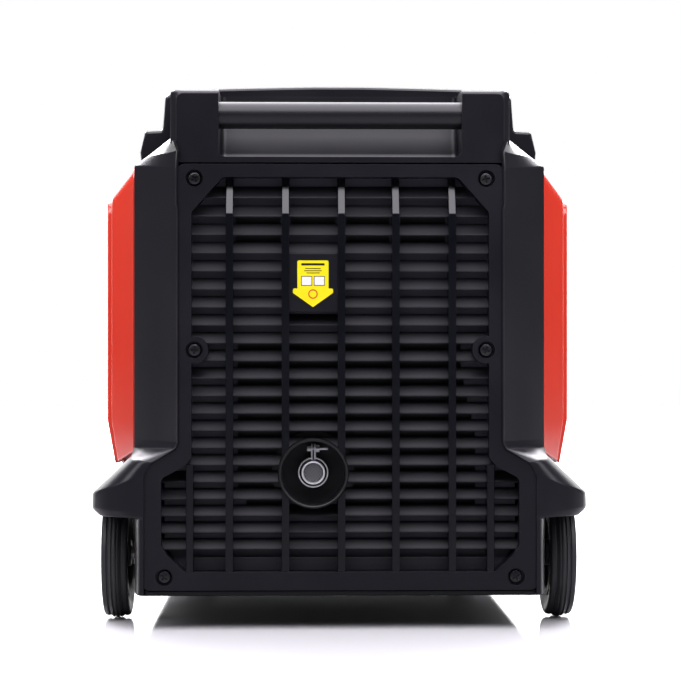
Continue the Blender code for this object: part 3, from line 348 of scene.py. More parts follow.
def carved(made, cutters, operation="DIFFERENCE", smooth=30):
    """Cuts the meshes out of a piece for good."""
    data = bpy.data.meshes.new("cutter")
    whole = merged(*cutters)
    whole.to_mesh(data)
    whole.free()
    cutter = bpy.data.objects.new("cutter", data)
    bpy.context.scene.collection.objects.link(cutter)
    tool = made.modifiers.new("carve", "BOOLEAN")
    tool.operation = operation
    tool.solver = "EXACT"
    tool.object = cutter
    bpy.context.view_layer.update()
    result = bpy.data.meshes.new_from_object(made.evaluated_get(bpy.context.evaluated_depsgraph_get()))
    made.modifiers.clear()
    old = made.data
    made.data = result
    bpy.data.meshes.remove(old)
    bpy.data.objects.remove(cutter)
    made.data.shade_smooth()
    made.data.set_sharp_from_angle(angle=math.radians(smooth))
    return made


satin_black = finish("satin_black_plastic", (0.0052, 0.0050, 0.0080), (0.0036, 0.0034, 0.0058),
                     (0.32, 0.39), Specular_IOR_Level=0.36)

shell_low, shell_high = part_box("rear_shell")
cover_low, cover_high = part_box("rear_cover")
housing_low, housing_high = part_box("rear_handle_housing")
front_low, front_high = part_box("front_shell")
window_low = Vector((0, -0.182, 0.190))
window_high = Vector((0, 0.160, 0.389))
body_half = front_high.x
tread_side = shell_high.x
split = shell_high.y


def eased(share):
    """A straight ramp with its two ends rounded off."""
    share = max(0.0, min(1.0, share))
    return share + 0.04 * math.sin(math.tau * share) * (share - 1 if share > 0.5 else -share)


def quick(depth, reach):
    """Rises fast from zero to one within a short reach, like the nose of a rounded block."""
    share = max(0.0, min(1.0, depth / reach))
    return math.sqrt(1 - (1 - share) ** 2)


cover_edge = cover_high.x + 0.0008
neck_step = 0.031
neck_edge = cover_high.x - neck_step + 0.0008
shoulder = 0.437
shell_wall = 0.0026


def hood_section(depth, flare, flared):
    """Right half of the section at a depth from the end; flare is how far the fender stands out."""
    side = eased((depth - 0.002) / 0.037)
    low = quick(depth, 0.030) if flared else side
    lip = body_half + (tread_side - body_half) * flare
    z = shell_low.z
    near = [
        (cover_edge - 0.012, z + 0.0004), (cover_edge, z + 0.0004), (cover_edge, 0.1010),
        (cover_edge, 0.1030), (cover_edge, 0.1075), (cover_edge, 0.1400),
        (cover_edge - 0.0055, 0.1512), (neck_edge + 0.0024, 0.1650), (neck_edge, 0.1710),
        (neck_edge, window_low.z), (neck_edge, 0.3840), (neck_edge + 0.0010, 0.3870),
        (neck_edge + 0.0010, 0.4200), (neck_edge, 0.4350), (neck_edge + 0.0035, 0.4440),
    ]
    far = [
        (body_half - 0.014, z), (body_half - 0.0015, z), (body_half - 0.0015, 0.1010),
        (lip - 0.007 * flare, 0.1025), (lip, 0.1090), (lip - 0.0004, 0.1235),
        (body_half + 0.0025 * flare, 0.1565), (body_half, 0.1650), (body_half, 0.1720),
        (body_half, window_low.z), (body_half, 0.3715), (body_half, window_high.z),
        (body_half, shoulder - 0.0125), (body_half - 0.0115, shoulder - 0.0040),
        (housing_high.x + 0.0020, shoulder + 0.0135),
    ]
    radii = [0, 0.002, 0.0012, 0.003, 0.005, 0.005, 0.010, 0.006, 0.003, 0, 0, 0, 0.004, 0.004, 0]
    corners = []
    for (ax, az), (bx, bz), radius in zip(near, far, radii):
        share = low if bz < 0.16 else side
        corners.append((ax + (bx - ax) * share, az + (bz - az) * share, radius))
    return corners


def hood(name, end, meet, node, flared):
    """One hood as an open skin with a wall."""
    inward = 1 if meet > end else -1
    depths = [0.0, 0.0006, 0.0016, 0.003, 0.005, 0.008, 0.012, 0.017, 0.023, 0.029, 0.034, 0.037, 0.0395,
              0.043]
    edge = inward * ((window_low.y if inward > 0 else window_high.y) - end)
    fender_end = inward * (fender_front - end)
    depths += [0.060, edge]
    if flared:
        depths += [fender_end - 0.022, fender_end - 0.012, fender_end - 0.006, fender_end - 0.002,
                   fender_end]
    depths.append(inward * (meet - end))
    mesh = bmesh.new()
    loops = []
    for depth in sorted(depths):
        flare = quick(fender_end - depth, 0.022) if flared else 0.0
        shrink = 0.0012 * (1 - quick(depth, 0.0016))
        half = [(x - shrink, z, r) for x, z, r in hood_section(depth, flare, flared)]
        y = end + inward * depth
        loops.append([mesh.verts.new((x, y, z)) for x, z in arcs(mirrored(half), 0.002, 4)])
    for near, far in zip(loops, loops[1:]):
        for i in range(len(near)):
            middle = (near[i - 1].co + near[i].co + far[i].co + far[i - 1].co) / 4
            beside = abs(middle.x) > body_half - 0.001 and window_low.z < middle.z < window_high.z
            under = abs(middle.x) < cover_edge - 0.012
            if under and (middle.z < 0.1 or abs(middle.x) < 0.14):
                continue
            if beside and window_low.y < middle.y < window_high.y:
                continue
            mesh.faces.new((near[i - 1], near[i], far[i], far[i - 1]))
    bmesh.ops.recalc_face_normals(mesh, faces=mesh.faces)
    made = piece(name, mesh, satin_black, replaced=[node], smooth=30)
    return walled(made, shell_wall)


wheel_centre = centre("wheel_axle", "yz")
fender_front = wheel_centre[0] + 0.084
tyre_low, tyre_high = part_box("tyre_right")
wheel_radius = tyre_high.z / 2
rear_hood = hood("rear_shell_skin", shell_low.y - 0.004, split, "rear_shell", True)
hood("front_shell_skin", front_high.y + 0.002, front_low.y, "front_shell", False)
well_gap = 0.0045
wells = []
for sign in (-1, 1):
    wells.append(plug("X", wheel_centre, wheel_radius + well_gap, sign * (body_half + 0.0010),
                      sign * (tread_side - 0.0030)))
carved(rear_hood, wells)


# Rear cover. One black moulding screwed over the exhaust end: a flat frame with chamfered opening
# corners, bosses for the screws, five tall ribs and two short ones. The ribs start deep under the
# top rail and slope out to a rounded knee.
def slab(outline, axis, start, end, edge=0.0, segments=3):
    """An outline pushed along an axis, with the rims of both ends rounded."""
    mesh = bmesh.new()
    face = mesh.faces.new([mesh.verts.new(on(axis, a, b, start)) for a, b in outline])
    grown = bmesh.ops.extrude_face_region(mesh, geom=[face])
    moved = [part for part in grown["geom"] if isinstance(part, bmesh.types.BMVert)]
    bmesh.ops.translate(mesh, verts=moved, vec=on(axis, 0, 0, end - start))
    bmesh.ops.recalc_face_normals(mesh, faces=mesh.faces)
    if edge:
        axis_vector = Vector(on(axis, 0, 0, 1))
        rims = [e for e in mesh.edges if abs((e.verts[0].co - e.verts[1].co).dot(axis_vector)) < 1e-7]
        bmesh.ops.bevel(
            mesh, geom=rims, offset=edge, offset_type="OFFSET", segments=segments,
            profile=0.5, affect="EDGES", material=-1, clamp_overlap=True,
        )
    return mesh


def softened(made, width, segments=3, angle=32):
    """Rounds the sharp edges of a finished piece."""
    tool = made.modifiers.new("rounded_edges", "BEVEL")
    tool.width = width
    tool.segments = segments
    tool.limit_method = "ANGLE"
    tool.angle_limit = math.radians(angle)
    tool.harden_normals = False
    return made


screw_places = [centre(f"rear_screw_{number}", "xz") for number in range(1, 7)]
cover_top = cover_high.z
neck_half = cover_high.x - neck_step
frame_half = [
    (cover_high.x, cover_low.z, 0.006), (cover_high.x, 0.1430, 0.009),
    (cover_high.x - 0.005, 0.151, 0.005), (neck_half + 0.0022, 0.1648, 0.007),
    (neck_half, 0.1690, 0.004), (neck_half, cover_top, 0.007),
]
opening_top = 0.4118
opening_bottom = 0.0527
opening_half = [
    (0.141, opening_bottom, 0.003), (0.157, 0.0675, 0.005), (0.163, 0.0765, 0.005),
    (0.163, 0.1375, 0.006), (0.1418, 0.1488, 0.004), (0.1355, 0.1565, 0.006), (0.1355, 0.380, 0.006),
    (0.107, opening_top, 0.008),
]
cover_depth = 0.0205
boss_radius = 0.0125
cover_sheet = slab(arcs(mirrored(frame_half), 0.003), "Y", rear_plane, rear_plane + cover_depth)
cover_frame = piece("rear_cover_frame", cover_sheet, satin_black, replaced=["rear_cover"])
carved(cover_frame, [slab(arcs(mirrored(opening_half), 0.003), "Y", rear_plane - 0.01,
                          rear_plane + 0.03)])
bosses = [plug("Y", screw_places[i], boss_radius, rear_plane + 0.0001, rear_plane + cover_depth - 0.0002,
               48)
          for i in (1, 4)]
carved(cover_frame, bosses, "UNION")
sink_depth = 0.0052
sink_profile = [(0, rear_plane - 0.01), (0.0082, rear_plane - 0.01), (0.0078, rear_plane + sink_depth),
                (0, rear_plane + sink_depth)]
sinks = [turned("Y", place, sink_profile, 40) for place in screw_places]
guard_low, guard_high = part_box("exhaust_guard")
pipe_low, pipe_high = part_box("exhaust_pipe")
exhaust_centre = centre("exhaust_pipe", "xz")
guard_radius = 0.032
carved(cover_frame, sinks)
softened(cover_frame, 0.0011, 3, 40)


def round_exhaust(gap, start):
    """A plug as wide as the exhaust collar and a gap, from a depth behind the cover's face."""
    return plug("Y", exhaust_centre, guard_radius + gap, rear_plane + start, rear_plane + 0.04)


rib_xs = [-0.1010, -0.0500, 0.0010, 0.0505, 0.1020]
short_rib_xs = [-0.1370, 0.1370]
rib_width = 0.0070
knee = 0.3785


def rib(x, low, high, sloped):
    """A tall strip whose front edge is rounded; a sloped one recedes above its knee."""
    front = rear_plane + 0.0009
    back = rear_plane + 0.0215
    side = [(front + 0.0004, low), (front, knee if sloped else high)]
    if sloped:
        side.append((rear_plane + 0.0145, high))
    side += [(back, high), (back, low)]
    outline = arcs([(y, z, 0.004 if z == knee else 0) for y, z in side], 0, 4)
    return slab(outline, "X", x - rib_width / 2, x + rib_width / 2, 0.0009, 3)


# Painted shade: the ribs are part of the same moulding as the frame, but their black is made darker than
# the frame's to stand in for the shade on their fronts.
shaded_rib_black = finish("rib_black_painted_shade", (0.0016, 0.0020, 0.0042), (0.0010, 0.0013, 0.0030),
                      (0.20, 0.26), bump=0.05)
ribs = [rib(x, opening_bottom - 0.002, opening_top + 0.002, True) for x in rib_xs]
ribs += [rib(x, opening_bottom - 0.002, 0.1500, False) for x in short_rib_xs]
rib_piece = piece("rear_cover_ribs", merged(*ribs), shaded_rib_black, replaced=["rear_cover"], smooth=30)
carved(rib_piece, [round_exhaust(0.0003, -0.01)])

# Louvres. Twenty-one blades slope down and outwards in one black moulding, each ending in a thin
# lip. The wall behind them is closed except beside the hot exhaust and under the top rail.
def block(low, high, edge=0.0005, segments=2):
    """A box with all its edges rounded."""
    mesh = bmesh.new()
    bmesh.ops.create_cube(mesh, size=1)
    bmesh.ops.scale(mesh, vec=Vector(high) - Vector(low), verts=mesh.verts)
    bmesh.ops.translate(mesh, vec=(Vector(low) + Vector(high)) / 2, verts=mesh.verts)
    if edge:
        bmesh.ops.bevel(
            mesh, geom=mesh.edges[:], offset=edge, offset_type="OFFSET", segments=segments,
            profile=0.5, affect="EDGES", material=-1, clamp_overlap=True,
        )
    return mesh


blade_count = 21
top_lip = 0.3930


def blade_pitch(number):
    """The spacing of the blades, which tightens a little from the top to the bottom."""
    return 0.0169 - 0.0018 * number / (blade_count - 1)


blade_z = []
level = top_lip
for number in range(blade_count):
    blade_z.append(level)
    level -= blade_pitch(number)


def blade(z, half, pitch):
    """One sloping blade with a thin, slightly rounded lip."""
    y = rear_plane + 0.0105
    side = [
        (y + 0.0095, z + pitch * 0.66, 0.0004), (y + 0.0080, z + pitch * 0.66, 0.0005),
        (y + 0.0004, z + 0.0016, 0.0003), (y, z + 0.0004, 0.0003), (y + 0.0004, z - 0.0004, 0.0003),
        (y + 0.0012, z - 0.0004, 0.0003), (y + 0.0095, z + pitch * 0.66 - 0.0035, 0.0004),
    ]
    return slab(arcs(side, 0.0004, 2), "X", -half, half)


blades = []
for number, z in enumerate(blade_z):
    half = 0.1385 if z > 0.152 else 0.166
    blades.append(blade(z, half, blade_pitch(number)))
grained_black = finish("grained_black_plastic", (0.0062, 0.0062, 0.0092), (0.0045, 0.0045, 0.0070),
                       (0.50, 0.58), bump=0.2, Specular_IOR_Level=0.24)
blade_stack = piece("louvre_blades", merged(*blades), grained_black, replaced=["rear_louvres"], smooth=30)
# Painted light: the louvre back wall is the same black plastic as the blades, made several times lighter
# to stand in for the light that the blades shade off it.
lightened_wall_black = finish("louvre_wall_painted_light", (0.0340, 0.0345, 0.0470), (0.0270, 0.0275, 0.0380),
                    (0.50, 0.60), Specular_IOR_Level=0.34)
deep_black = finish("shadowed_inner_plastic", (0.006, 0.006, 0.0085), (0.003, 0.003, 0.005), (0.55, 0.7))
wall_half = [(x - 0.002 if x > 0.15 else x + 0.004, z, r) for x, z, r in opening_half]
wall_sheet = slab(arcs(mirrored(wall_half), 0.003), "Y", rear_plane + 0.0195, rear_plane + 0.0215)
back_wall = piece("louvre_back", wall_sheet, lightened_wall_black, replaced=["rear_louvres"])
sill = block((-0.1405, rear_plane + 0.0120, opening_bottom + 0.0002),
             (0.1405, rear_plane + 0.0192, 0.0650), 0.0006)
piece("louvre_sill", sill, grained_black)
slots = []
vent_right = [0.111, 0.111, 0.114, 0.117, 0.121, 0.124, 0.1244, 0.1244, 0.1244, 0.1244, 0.117]
lower_rows = [z for z in blade_z if 0.105 < z < 0.272]
for row, z in enumerate(lower_rows):
    right = vent_right[min(row, len(vent_right) - 1)]
    left = -0.094 if row < len(lower_rows) - 1 else -0.086
    slots.append(block((left, rear_plane + 0.01, z - 0.0075), (right, rear_plane + 0.03, z + 0.0015), 0))
for z, rib_pairs in ((blade_z[1], ((0, 1), (1, 2), (2, 3), (3, 4))),
                     (blade_z[2], ((0, 1), (2, 3), (3, 4)))):
    for a, b in rib_pairs:
        low = (rib_xs[a] + 0.005, rear_plane + 0.01, z - 0.0075)
        slots.append(block(low, (rib_xs[b] - 0.005, rear_plane + 0.03, z + 0.0010), 0))
for slot in slots:
    carved(back_wall, [slot])
carved(back_wall, [round_exhaust(0.0005, 0.0)])
carved(blade_stack, [round_exhaust(0.0005, -0.01)])

# Painted shade: a dark sheet behind the open slots stands in for the shadowed inside of the machine, so
# the slots read black.
sheet_mesh = block((-0.145, rear_plane + 0.0270, 0.060), (0.145, rear_plane + 0.0282, 0.400), 0.0004)
dark_sheet = piece("slot_shade_sheet", sheet_mesh, deep_black)
carved(dark_sheet, [round_exhaust(0.0005, 0.0)])

# Label. A flat plate stands in the bay beside the middle rib and carries a yellow vinyl sticker
# that ends in an arrow; its printing is plain bars, two blank frames and a ring.
plate_left = rib_xs[1] + rib_width / 2 - 0.0003
plate_right = rib_xs[2] - rib_width / 2 + 0.0003
plate_front = rear_plane + 0.0030
plate_low = 0.2895
plate_high = 0.3425
plate_corners = [(plate_left, plate_low), (plate_right, plate_low), (plate_right, plate_high),
                 (plate_left, plate_high)]
plate = slab(plate_corners, "Y", plate_front, plate_front + 0.006, 0.0006)
piece("label_plate", plate, satin_black, replaced=["rear_cover"])
label_x = (plate_left + plate_right) / 2 - 0.0005
sticker = finish("yellow_vinyl", (0.86, 0.72, 0.006), (0.78, 0.64, 0.005), (0.30, 0.42), patch=60,
                 grain=600, bump=0.02)
ink = finish("black_print", (0.012, 0.012, 0.010), (0.008, 0.008, 0.008), (0.35, 0.45), patch=80,
             bump=0.02)
red_ink = finish("red_print", (0.62, 0.05, 0.02), (0.52, 0.04, 0.02), (0.35, 0.45), patch=80, bump=0.02)
white_ink = finish("white_print", (0.80, 0.80, 0.76), (0.70, 0.70, 0.68), (0.35, 0.45), patch=80,
                   bump=0.02)
stem = 0.0142
barb = 0.0183
arrow_half = [(barb, 0.3065, 0.0015), (barb, 0.3105, 0.0015), (stem, 0.3105, 0.0003),
              (stem, 0.3360, 0.0015)]
arrow = [(label_x - x, z, r) for x, z, r in reversed(arrow_half)] + [(label_x, 0.2935, 0.001)]
arrow += [(label_x + x, z, r) for x, z, r in arrow_half]
sticker_sheet = slab(arcs(arrow, 0.001, 3), "Y", plate_front - 0.00025, plate_front + 0.0002)
piece("label_sticker", sticker_sheet, sticker)


def printed(name, low, high, material):
    """A thin printed patch on the sticker, from its lower left and upper right corners."""
    shape = block((label_x + low[0], plate_front - 0.00034, low[1]),
                  (label_x + high[0], plate_front - 0.0002, high[1]), 0)
    return piece(name, shape, material)


printed("label_bar_1", (-0.0105, 0.3315), (0.0105, 0.3335), ink)
for row, half in enumerate((0.0070, 0.0080, 0.0060)):
    z = 0.3283 - row * 0.0020
    printed(f"label_line_{row + 1}", (-half, z), (half, z + 0.0007), ink)
for number, left in enumerate((-0.0108, 0.0008), 1):
    printed(f"label_frame_{number}", (left, 0.3130), (left + 0.0100, 0.3218), ink)
    shape = block((label_x + left + 0.0006, plate_front - 0.0004, 0.3136),
                  (label_x + left + 0.0094, plate_front - 0.0003, 0.3212), 0)
    piece(f"label_blank_{number}", shape, white_ink)
ring = sleeve("Y", (label_x, 0.3055), 0.0033, 0.0043, plate_front - 0.0004, plate_front - 0.0002, 40)
piece("label_ring", ring, red_ink)

# Rear cover screws. Six steel pan-head screws, blackened zinc plated, with a cold-formed cross
# recess. Each sits deep in a round sink and holds the cover to the rear shell.
screw_black = finish("black_zinc_steel", (0.050, 0.050, 0.056), (0.028, 0.028, 0.032), (0.24, 0.36),
                     Metallic=0.8)


def swung(mesh, turn, axis, shift, pivot=(0, 0, 0)):
    """A mesh turned about an axis and then moved."""
    bmesh.ops.rotate(mesh, verts=mesh.verts, cent=pivot, matrix=Matrix.Rotation(turn, 3, axis))
    bmesh.ops.translate(mesh, verts=mesh.verts, vec=shift)
    return mesh


def cross_screw(number, place):
    """A pan head with two crossing slots; every screw stopped at its own angle."""
    x, z = place
    head = rear_plane + 0.0022
    head_radius = 0.0064
    head_height = 0.0030
    slot_half = (0.0034, 0.00075)
    profile = [(0, head), (0.0040, head + 0.0001), (0.0053, head + 0.0006), (0.0061, head + 0.0016),
               (head_radius, head + head_height), (0, head + head_height)]
    made = piece(f"cover_screw_{number}", turned("Y", place, profile, 40), screw_black,
                 replaced=[f"rear_screw_{number}"])
    turn = math.radians(20 + 37 * number)
    for k in (0, 1):
        arm = block((-slot_half[0], head - 0.001, -slot_half[1]),
                    (slot_half[0], head + 0.0018, slot_half[1]), 0)
        carved(made, [swung(arm, turn + k * math.pi / 2, "Y", (x, 0, z), pivot=(0, head, 0))])


for number, place in enumerate(screw_places, 1):
    cross_screw(number, place)

# Exhaust. A black steel collar keeps hands off the tail pipe; the pipe's bright lip holds a woven
# spark screen, and a zinc band with two ears is drawn tight round it by a small bolt and nut.
collar_black = finish("heatproof_black_steel", (0.012, 0.012, 0.013), (0.006, 0.006, 0.007), (0.35, 0.5),
                      Metallic=0.3)
hot_steel = finish("heated_steel", (0.52, 0.48, 0.42), (0.30, 0.27, 0.25), (0.22, 0.42), patch=140,
                   Metallic=1.0)
wire_steel = finish("spark_wire", (0.22, 0.22, 0.23), (0.15, 0.15, 0.16), (0.30, 0.45), patch=300,
                    Metallic=1.0)
bright_zinc = finish("bright_zinc", (0.90, 0.91, 0.92), (0.74, 0.75, 0.77), (0.34, 0.48), patch=160,
                     Metallic=0.75)
y = guard_low.y
collar = [
    (guard_radius - 0.0028, y + 0.0012), (guard_radius - 0.0024, y + 0.0004), (guard_radius - 0.0016, y),
    (guard_radius - 0.0006, y + 0.0002), (guard_radius, y + 0.0012), (guard_radius, y + 0.0200),
    (guard_radius + 0.006, y + 0.0205), (guard_radius + 0.006, y + 0.0225), (guard_radius, y + 0.0225),
    (guard_radius, guard_high.y), (guard_radius - 0.003, guard_high.y),
]
piece("exhaust_collar", turned("Y", exhaust_centre, collar, 96, closed=True), collar_black,
      replaced=["exhaust_guard"])
tip = pipe_low.y
pipe = [
    (0.0089, tip + 0.0012), (0.0093, tip + 0.0002), (0.0099, tip), (0.0105, tip + 0.0002),
    (0.0110, tip + 0.0012), (0.0110, tip + 0.0035), (0.0106, tip + 0.0045), (0.0106, pipe_high.y),
    (0.0089, pipe_high.y),
]
piece("tail_pipe", turned("Y", exhaust_centre, pipe, 64, closed=True), bright_zinc,
      replaced=["exhaust_pipe"])
well = sleeve("Y", exhaust_centre, 0.0112, guard_radius - 0.003, guard_high.y - 0.002, guard_high.y, 64)
piece("exhaust_well", well, deep_black)
# Painted shade: the dark disc just behind the spark screen stands in for the shadowed inside of the pipe.
piece("screen_shade_disc", plug("Y", exhaust_centre, 0.0087, tip + 0.0034, tip + 0.0044, 48), deep_black)


def spark_screen():
    """Two layers of crossing wires, trimmed to the pipe's bore, over a dark disc."""
    wires = []
    bore = 0.0086
    pitch = 0.00215
    thickness = 0.00019
    splay = math.radians(40)
    y = tip + 0.0022
    for layer, turn in enumerate((splay, -splay)):
        for k in range(-4, 5):
            offset = k * pitch
            if abs(offset) > bore - 0.0003:
                continue
            half = math.sqrt(bore**2 - offset**2)
            wire = bmesh.new()
            bmesh.ops.create_cone(wire, cap_ends=True, segments=6, radius1=thickness, radius2=thickness,
                                  depth=2 * half)
            bmesh.ops.translate(wire, verts=wire.verts, vec=(offset, 0, 0))
            wires.append(swung(wire, turn, "Y",
                               (exhaust_centre[0], y + layer * 0.0003, exhaust_centre[1])))
    return merged(*wires)


piece("spark_screen", spark_screen(), wire_steel, replaced=["spark_arrestor"])
clamp_low, clamp_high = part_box("exhaust_clamp")
band = [(0.0127, clamp_low.y), (0.0137, clamp_low.y + 0.0002), (0.0139, clamp_low.y + 0.001),
        (0.0139, clamp_high.y - 0.001), (0.0137, clamp_high.y - 0.0002), (0.0127, clamp_high.y)]
clamp = piece("pipe_clamp", turned("Y", exhaust_centre, band, 64, closed=True), bright_zinc,
              replaced=["exhaust_clamp"])
x, z = exhaust_centre
gap = block((x - 0.0005, clamp_low.y - 0.01, z), (x + 0.0007, clamp_high.y + 0.01, z + 0.02), 0)
carved(clamp, [gap])
for name, near, far in (("clamp_ear_left", -0.0020, -0.0005), ("clamp_ear_right", 0.0007, 0.0024)):
    ear = [(clamp_low.y + 0.0004, z + 0.0115, 0), (clamp_high.y - 0.0004, z + 0.0115, 0),
           (clamp_high.y - 0.0004, clamp_high.z, 0.004), (clamp_low.y + 0.0004, clamp_high.z, 0.004)]
    piece(name, slab(arcs(ear, 0.001), "X", x + near, x + far, 0.0003), bright_zinc,
          replaced=["exhaust_clamp"])
bolt_centre = centre("clamp_bolt", "yz")


def hexagon(radius):
    """The outline of a bolt head or nut round the clamp's bolt."""
    return [(bolt_centre[0] + radius * math.cos(math.tau * k / 6),
             bolt_centre[1] + radius * math.sin(math.tau * k / 6))
            for k in range(6)]


stud = [(0, x - 0.0058), (0.0013, x - 0.0058), (0.0013, x + 0.0125), (0.0009, x + 0.0135),
        (0, x + 0.0135)]
for name, mesh in (
    ("clamp_stud", turned("X", bolt_centre, stud, 24)),
    ("clamp_bolt_head", slab(hexagon(0.0026), "X", x - 0.0056, x - 0.0021, 0.0004)),
    ("clamp_nut", slab(hexagon(0.0036), "X", x + 0.0025, x + 0.0058, 0.0004)),
):
    piece(name, mesh, bright_zinc, replaced=["clamp_bolt"])

# Rear handle. A black housing forms two posts and a scooped hand recess; a smooth gloss tube
# spans the posts.
gloss_black = finish("gloss_black_tube", (0.009, 0.009, 0.0115), (0.007, 0.007, 0.009), (0.30, 0.35),
                     grain=500, bump=0.02, Specular_IOR_Level=0.36)
bar_low, bar_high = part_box("rear_handle_bar")
bar_centre = centre("rear_handle_bar", "yz")
bar_radius = (bar_high.y - bar_low.y) / 2
post_inner = bar_high.x + 0.0003


def rings_joined(rings, ends=True):
    """Closed loops of points, each bridged to the next, with the first and last filled."""
    mesh = bmesh.new()
    loops = []
    for ring in rings:
        verts = [mesh.verts.new(point) for point in ring]
        loops.append([mesh.edges.new((verts[i - 1], verts[i])) for i in range(len(verts))])
    for near, far in zip(loops, loops[1:]):
        bmesh.ops.bridge_loops(mesh, edges=near + far)
    if ends:
        bmesh.ops.contextual_create(mesh, geom=loops[0])
        bmesh.ops.contextual_create(mesh, geom=loops[-1])
    bmesh.ops.recalc_face_normals(mesh, faces=mesh.faces)
    return mesh


def housing(name, near, far, node, toward, recess):
    """Posts and floor of a handle housing; a scoop curves up from the lip to the top."""
    stages = [
        (0.0, 0.1488, 0.0050), (0.0005, 0.1494, 0.0036), (0.0018, 0.1497, 0.0024),
        (0.0020, 0.1503, 0.0022), (0.0045, 0.1533, 0.0008), (0.0075, 0.1552, 0.0),
        (0.0740, 0.1552, 0.0), (0.0763, 0.1545, 0.0012),
    ]
    rings = []
    for depth, half, drop in stages:
        y = near + toward * (depth if depth < 0.05 else depth - 0.0765 + abs(far - near))
        outline = [(half, housing_low.z, 0.0008), (half, housing_high.z - drop, 0.0065)]
        rings.append([(x, y, z) for x, z in arcs(mirrored(outline), 0.001, 7)])
    made = piece(name, rings_joined(rings), satin_black, replaced=[node], smooth=25)
    floor_z = housing_low.z + 0.0052
    heel = 0.64 * recess
    bend = 0.012
    slope = math.radians(71)
    sweep = [(near - toward * 0.02, floor_z)]
    for k in range(6):
        turn = slope * k / 5
        sweep.append((near + toward * (heel + bend * math.sin(turn)),
                      floor_z + bend * (1 - math.cos(turn))))
    sweep += [(near + toward * recess, floor_z + 0.0485), (near + toward * recess, housing_high.z + 0.03),
              (near - toward * 0.02, housing_high.z + 0.03)]
    carved(made, [slab(sweep, "X", -post_inner, post_inner, 0.006, 4)])
    softened(made, 0.0014, 3, 40)
    return made


housing("rear_handle_posts", housing_low.y, housing_high.y, "rear_handle_housing", 1, 0.066)
front_housing_low, front_housing_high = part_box("front_handle_housing")
front_posts = housing("front_handle_posts", front_housing_high.y, front_housing_low.y,
                      "front_handle_housing", -1, 0.046)
tube_low, tube_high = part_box("pull_tube_right")
tube_middle = centre("pull_tube_right", "xz")
tube_radius = (tube_high.x - tube_low.x) / 2
bores = [plug("Y", (sign * tube_middle[0], tube_middle[1]), tube_radius + 0.0008,
              front_housing_low.y - 0.02, front_housing_high.y + 0.02, 48) for sign in (-1, 1)]
carved(front_posts, bores)
carry_bar = plug("X", bar_centre, bar_radius, -post_inner, post_inner, 96)
piece("rear_carry_bar", carry_bar, gloss_black, replaced=["rear_handle_bar"])

# Top cover. The black crown is a stepped moulding: a flat top with soft edges, a ledge on each
# side and a skirt that drops over the shells. The fuel cap sits in a round well.
crown_low, crown_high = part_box("top_cover")
cap_low, cap_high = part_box("fuel_cap")
cap_centre = centre("fuel_cap", "xy")
cap_radius = (cap_high.x - cap_low.x) / 2
top = crown_high.z
side = crown_high.x
crown_half = [
    (side - 0.0060, crown_low.z + 0.003, 0.001), (side - 0.0046, crown_low.z + 0.0165, 0.002),
    (side - 0.0093, crown_low.z + 0.0369, 0.002), (side - 0.0259, crown_low.z + 0.0378, 0.004),
    (side - 0.0283, top - 0.0095, 0.005),
]
crown_top = [(side - 0.040 - 0.0217 * k, top - 0.0045 * (1 - (k / 7) ** 0.6)) for k in range(8)]


def crown_ring(y, shrink, drop):
    """A section of the crown, drawn in and lowered near its ends."""
    half = []
    for x, z, r in crown_half:
        half.append((x - shrink * 0.5, min(z, top) - (drop if z > crown_low.z + 0.03 else 0), r))
    half += [(x, z - drop, 0.002) for x, z in crown_top[:-1]]
    whole = half + [(-x, z, r) for x, z, r in reversed(half)]
    return [(x, y, z) for x, z in arcs(whole, 0.002, 3)]


crown_rings = [crown_ring(crown_low.y, 0.004, 0.003), crown_ring(crown_low.y + 0.0012, 0.0015, 0.0012),
               crown_ring(crown_low.y + 0.004, 0, 0), crown_ring(crown_high.y - 0.004, 0, 0),
               crown_ring(crown_high.y - 0.0012, 0.0015, 0.0012), crown_ring(crown_high.y, 0.004, 0.003)]
crown = piece("crown", rings_joined(crown_rings), satin_black, replaced=["top_cover"], smooth=30)
well_profile = [
    (0, crown_low.z - 0.02), (cap_radius + 0.004, crown_low.z - 0.02),
    (cap_radius + 0.004, top - 0.003), (cap_radius + 0.007, top + 0.001), (0, top + 0.001),
]
for inset, roof in ((0.012, crown_low.z + 0.033), (0.034, top - 0.008)):
    hollow = block((-side + inset, crown_low.y + 0.003, crown_low.z - 0.02),
                   (side - inset, crown_high.y - 0.003, roof), 0)
    carved(crown, [hollow])
carved(crown, [turned("Z", cap_centre, well_profile, 96)])

# Side covers. Gloss red shells, painted and clear-coated, stand off both flanks: a flat face with
# a raised skin, sloping borders and a cut-out over the fender. The right one opens as a door.
gloss_red = finish("gloss_red_cover", (0.66, 0.040, 0.018), (0.61, 0.034, 0.015), (0.20, 0.26), patch=9,
                   grain=260, bump=0.015, depth=0.00005, Coat_Weight=0.8, Coat_Roughness=0.06)
cover_wall = 0.0024
pocket_wall = 0.0008
taper_top = 0.187
taper_low = 0.117
taper_share = 0.42


def skinned(rings):
    """An open skin through closed loops of points, with the last loop filled."""
    mesh = bmesh.new()
    loops = [[mesh.verts.new(point) for point in ring] for ring in rings]
    for near, far in zip(loops, loops[1:]):
        for i in range(len(near)):
            mesh.faces.new((near[i - 1], near[i], far[i], far[i - 1]))
    mesh.faces.new(loops[-1])
    return mesh


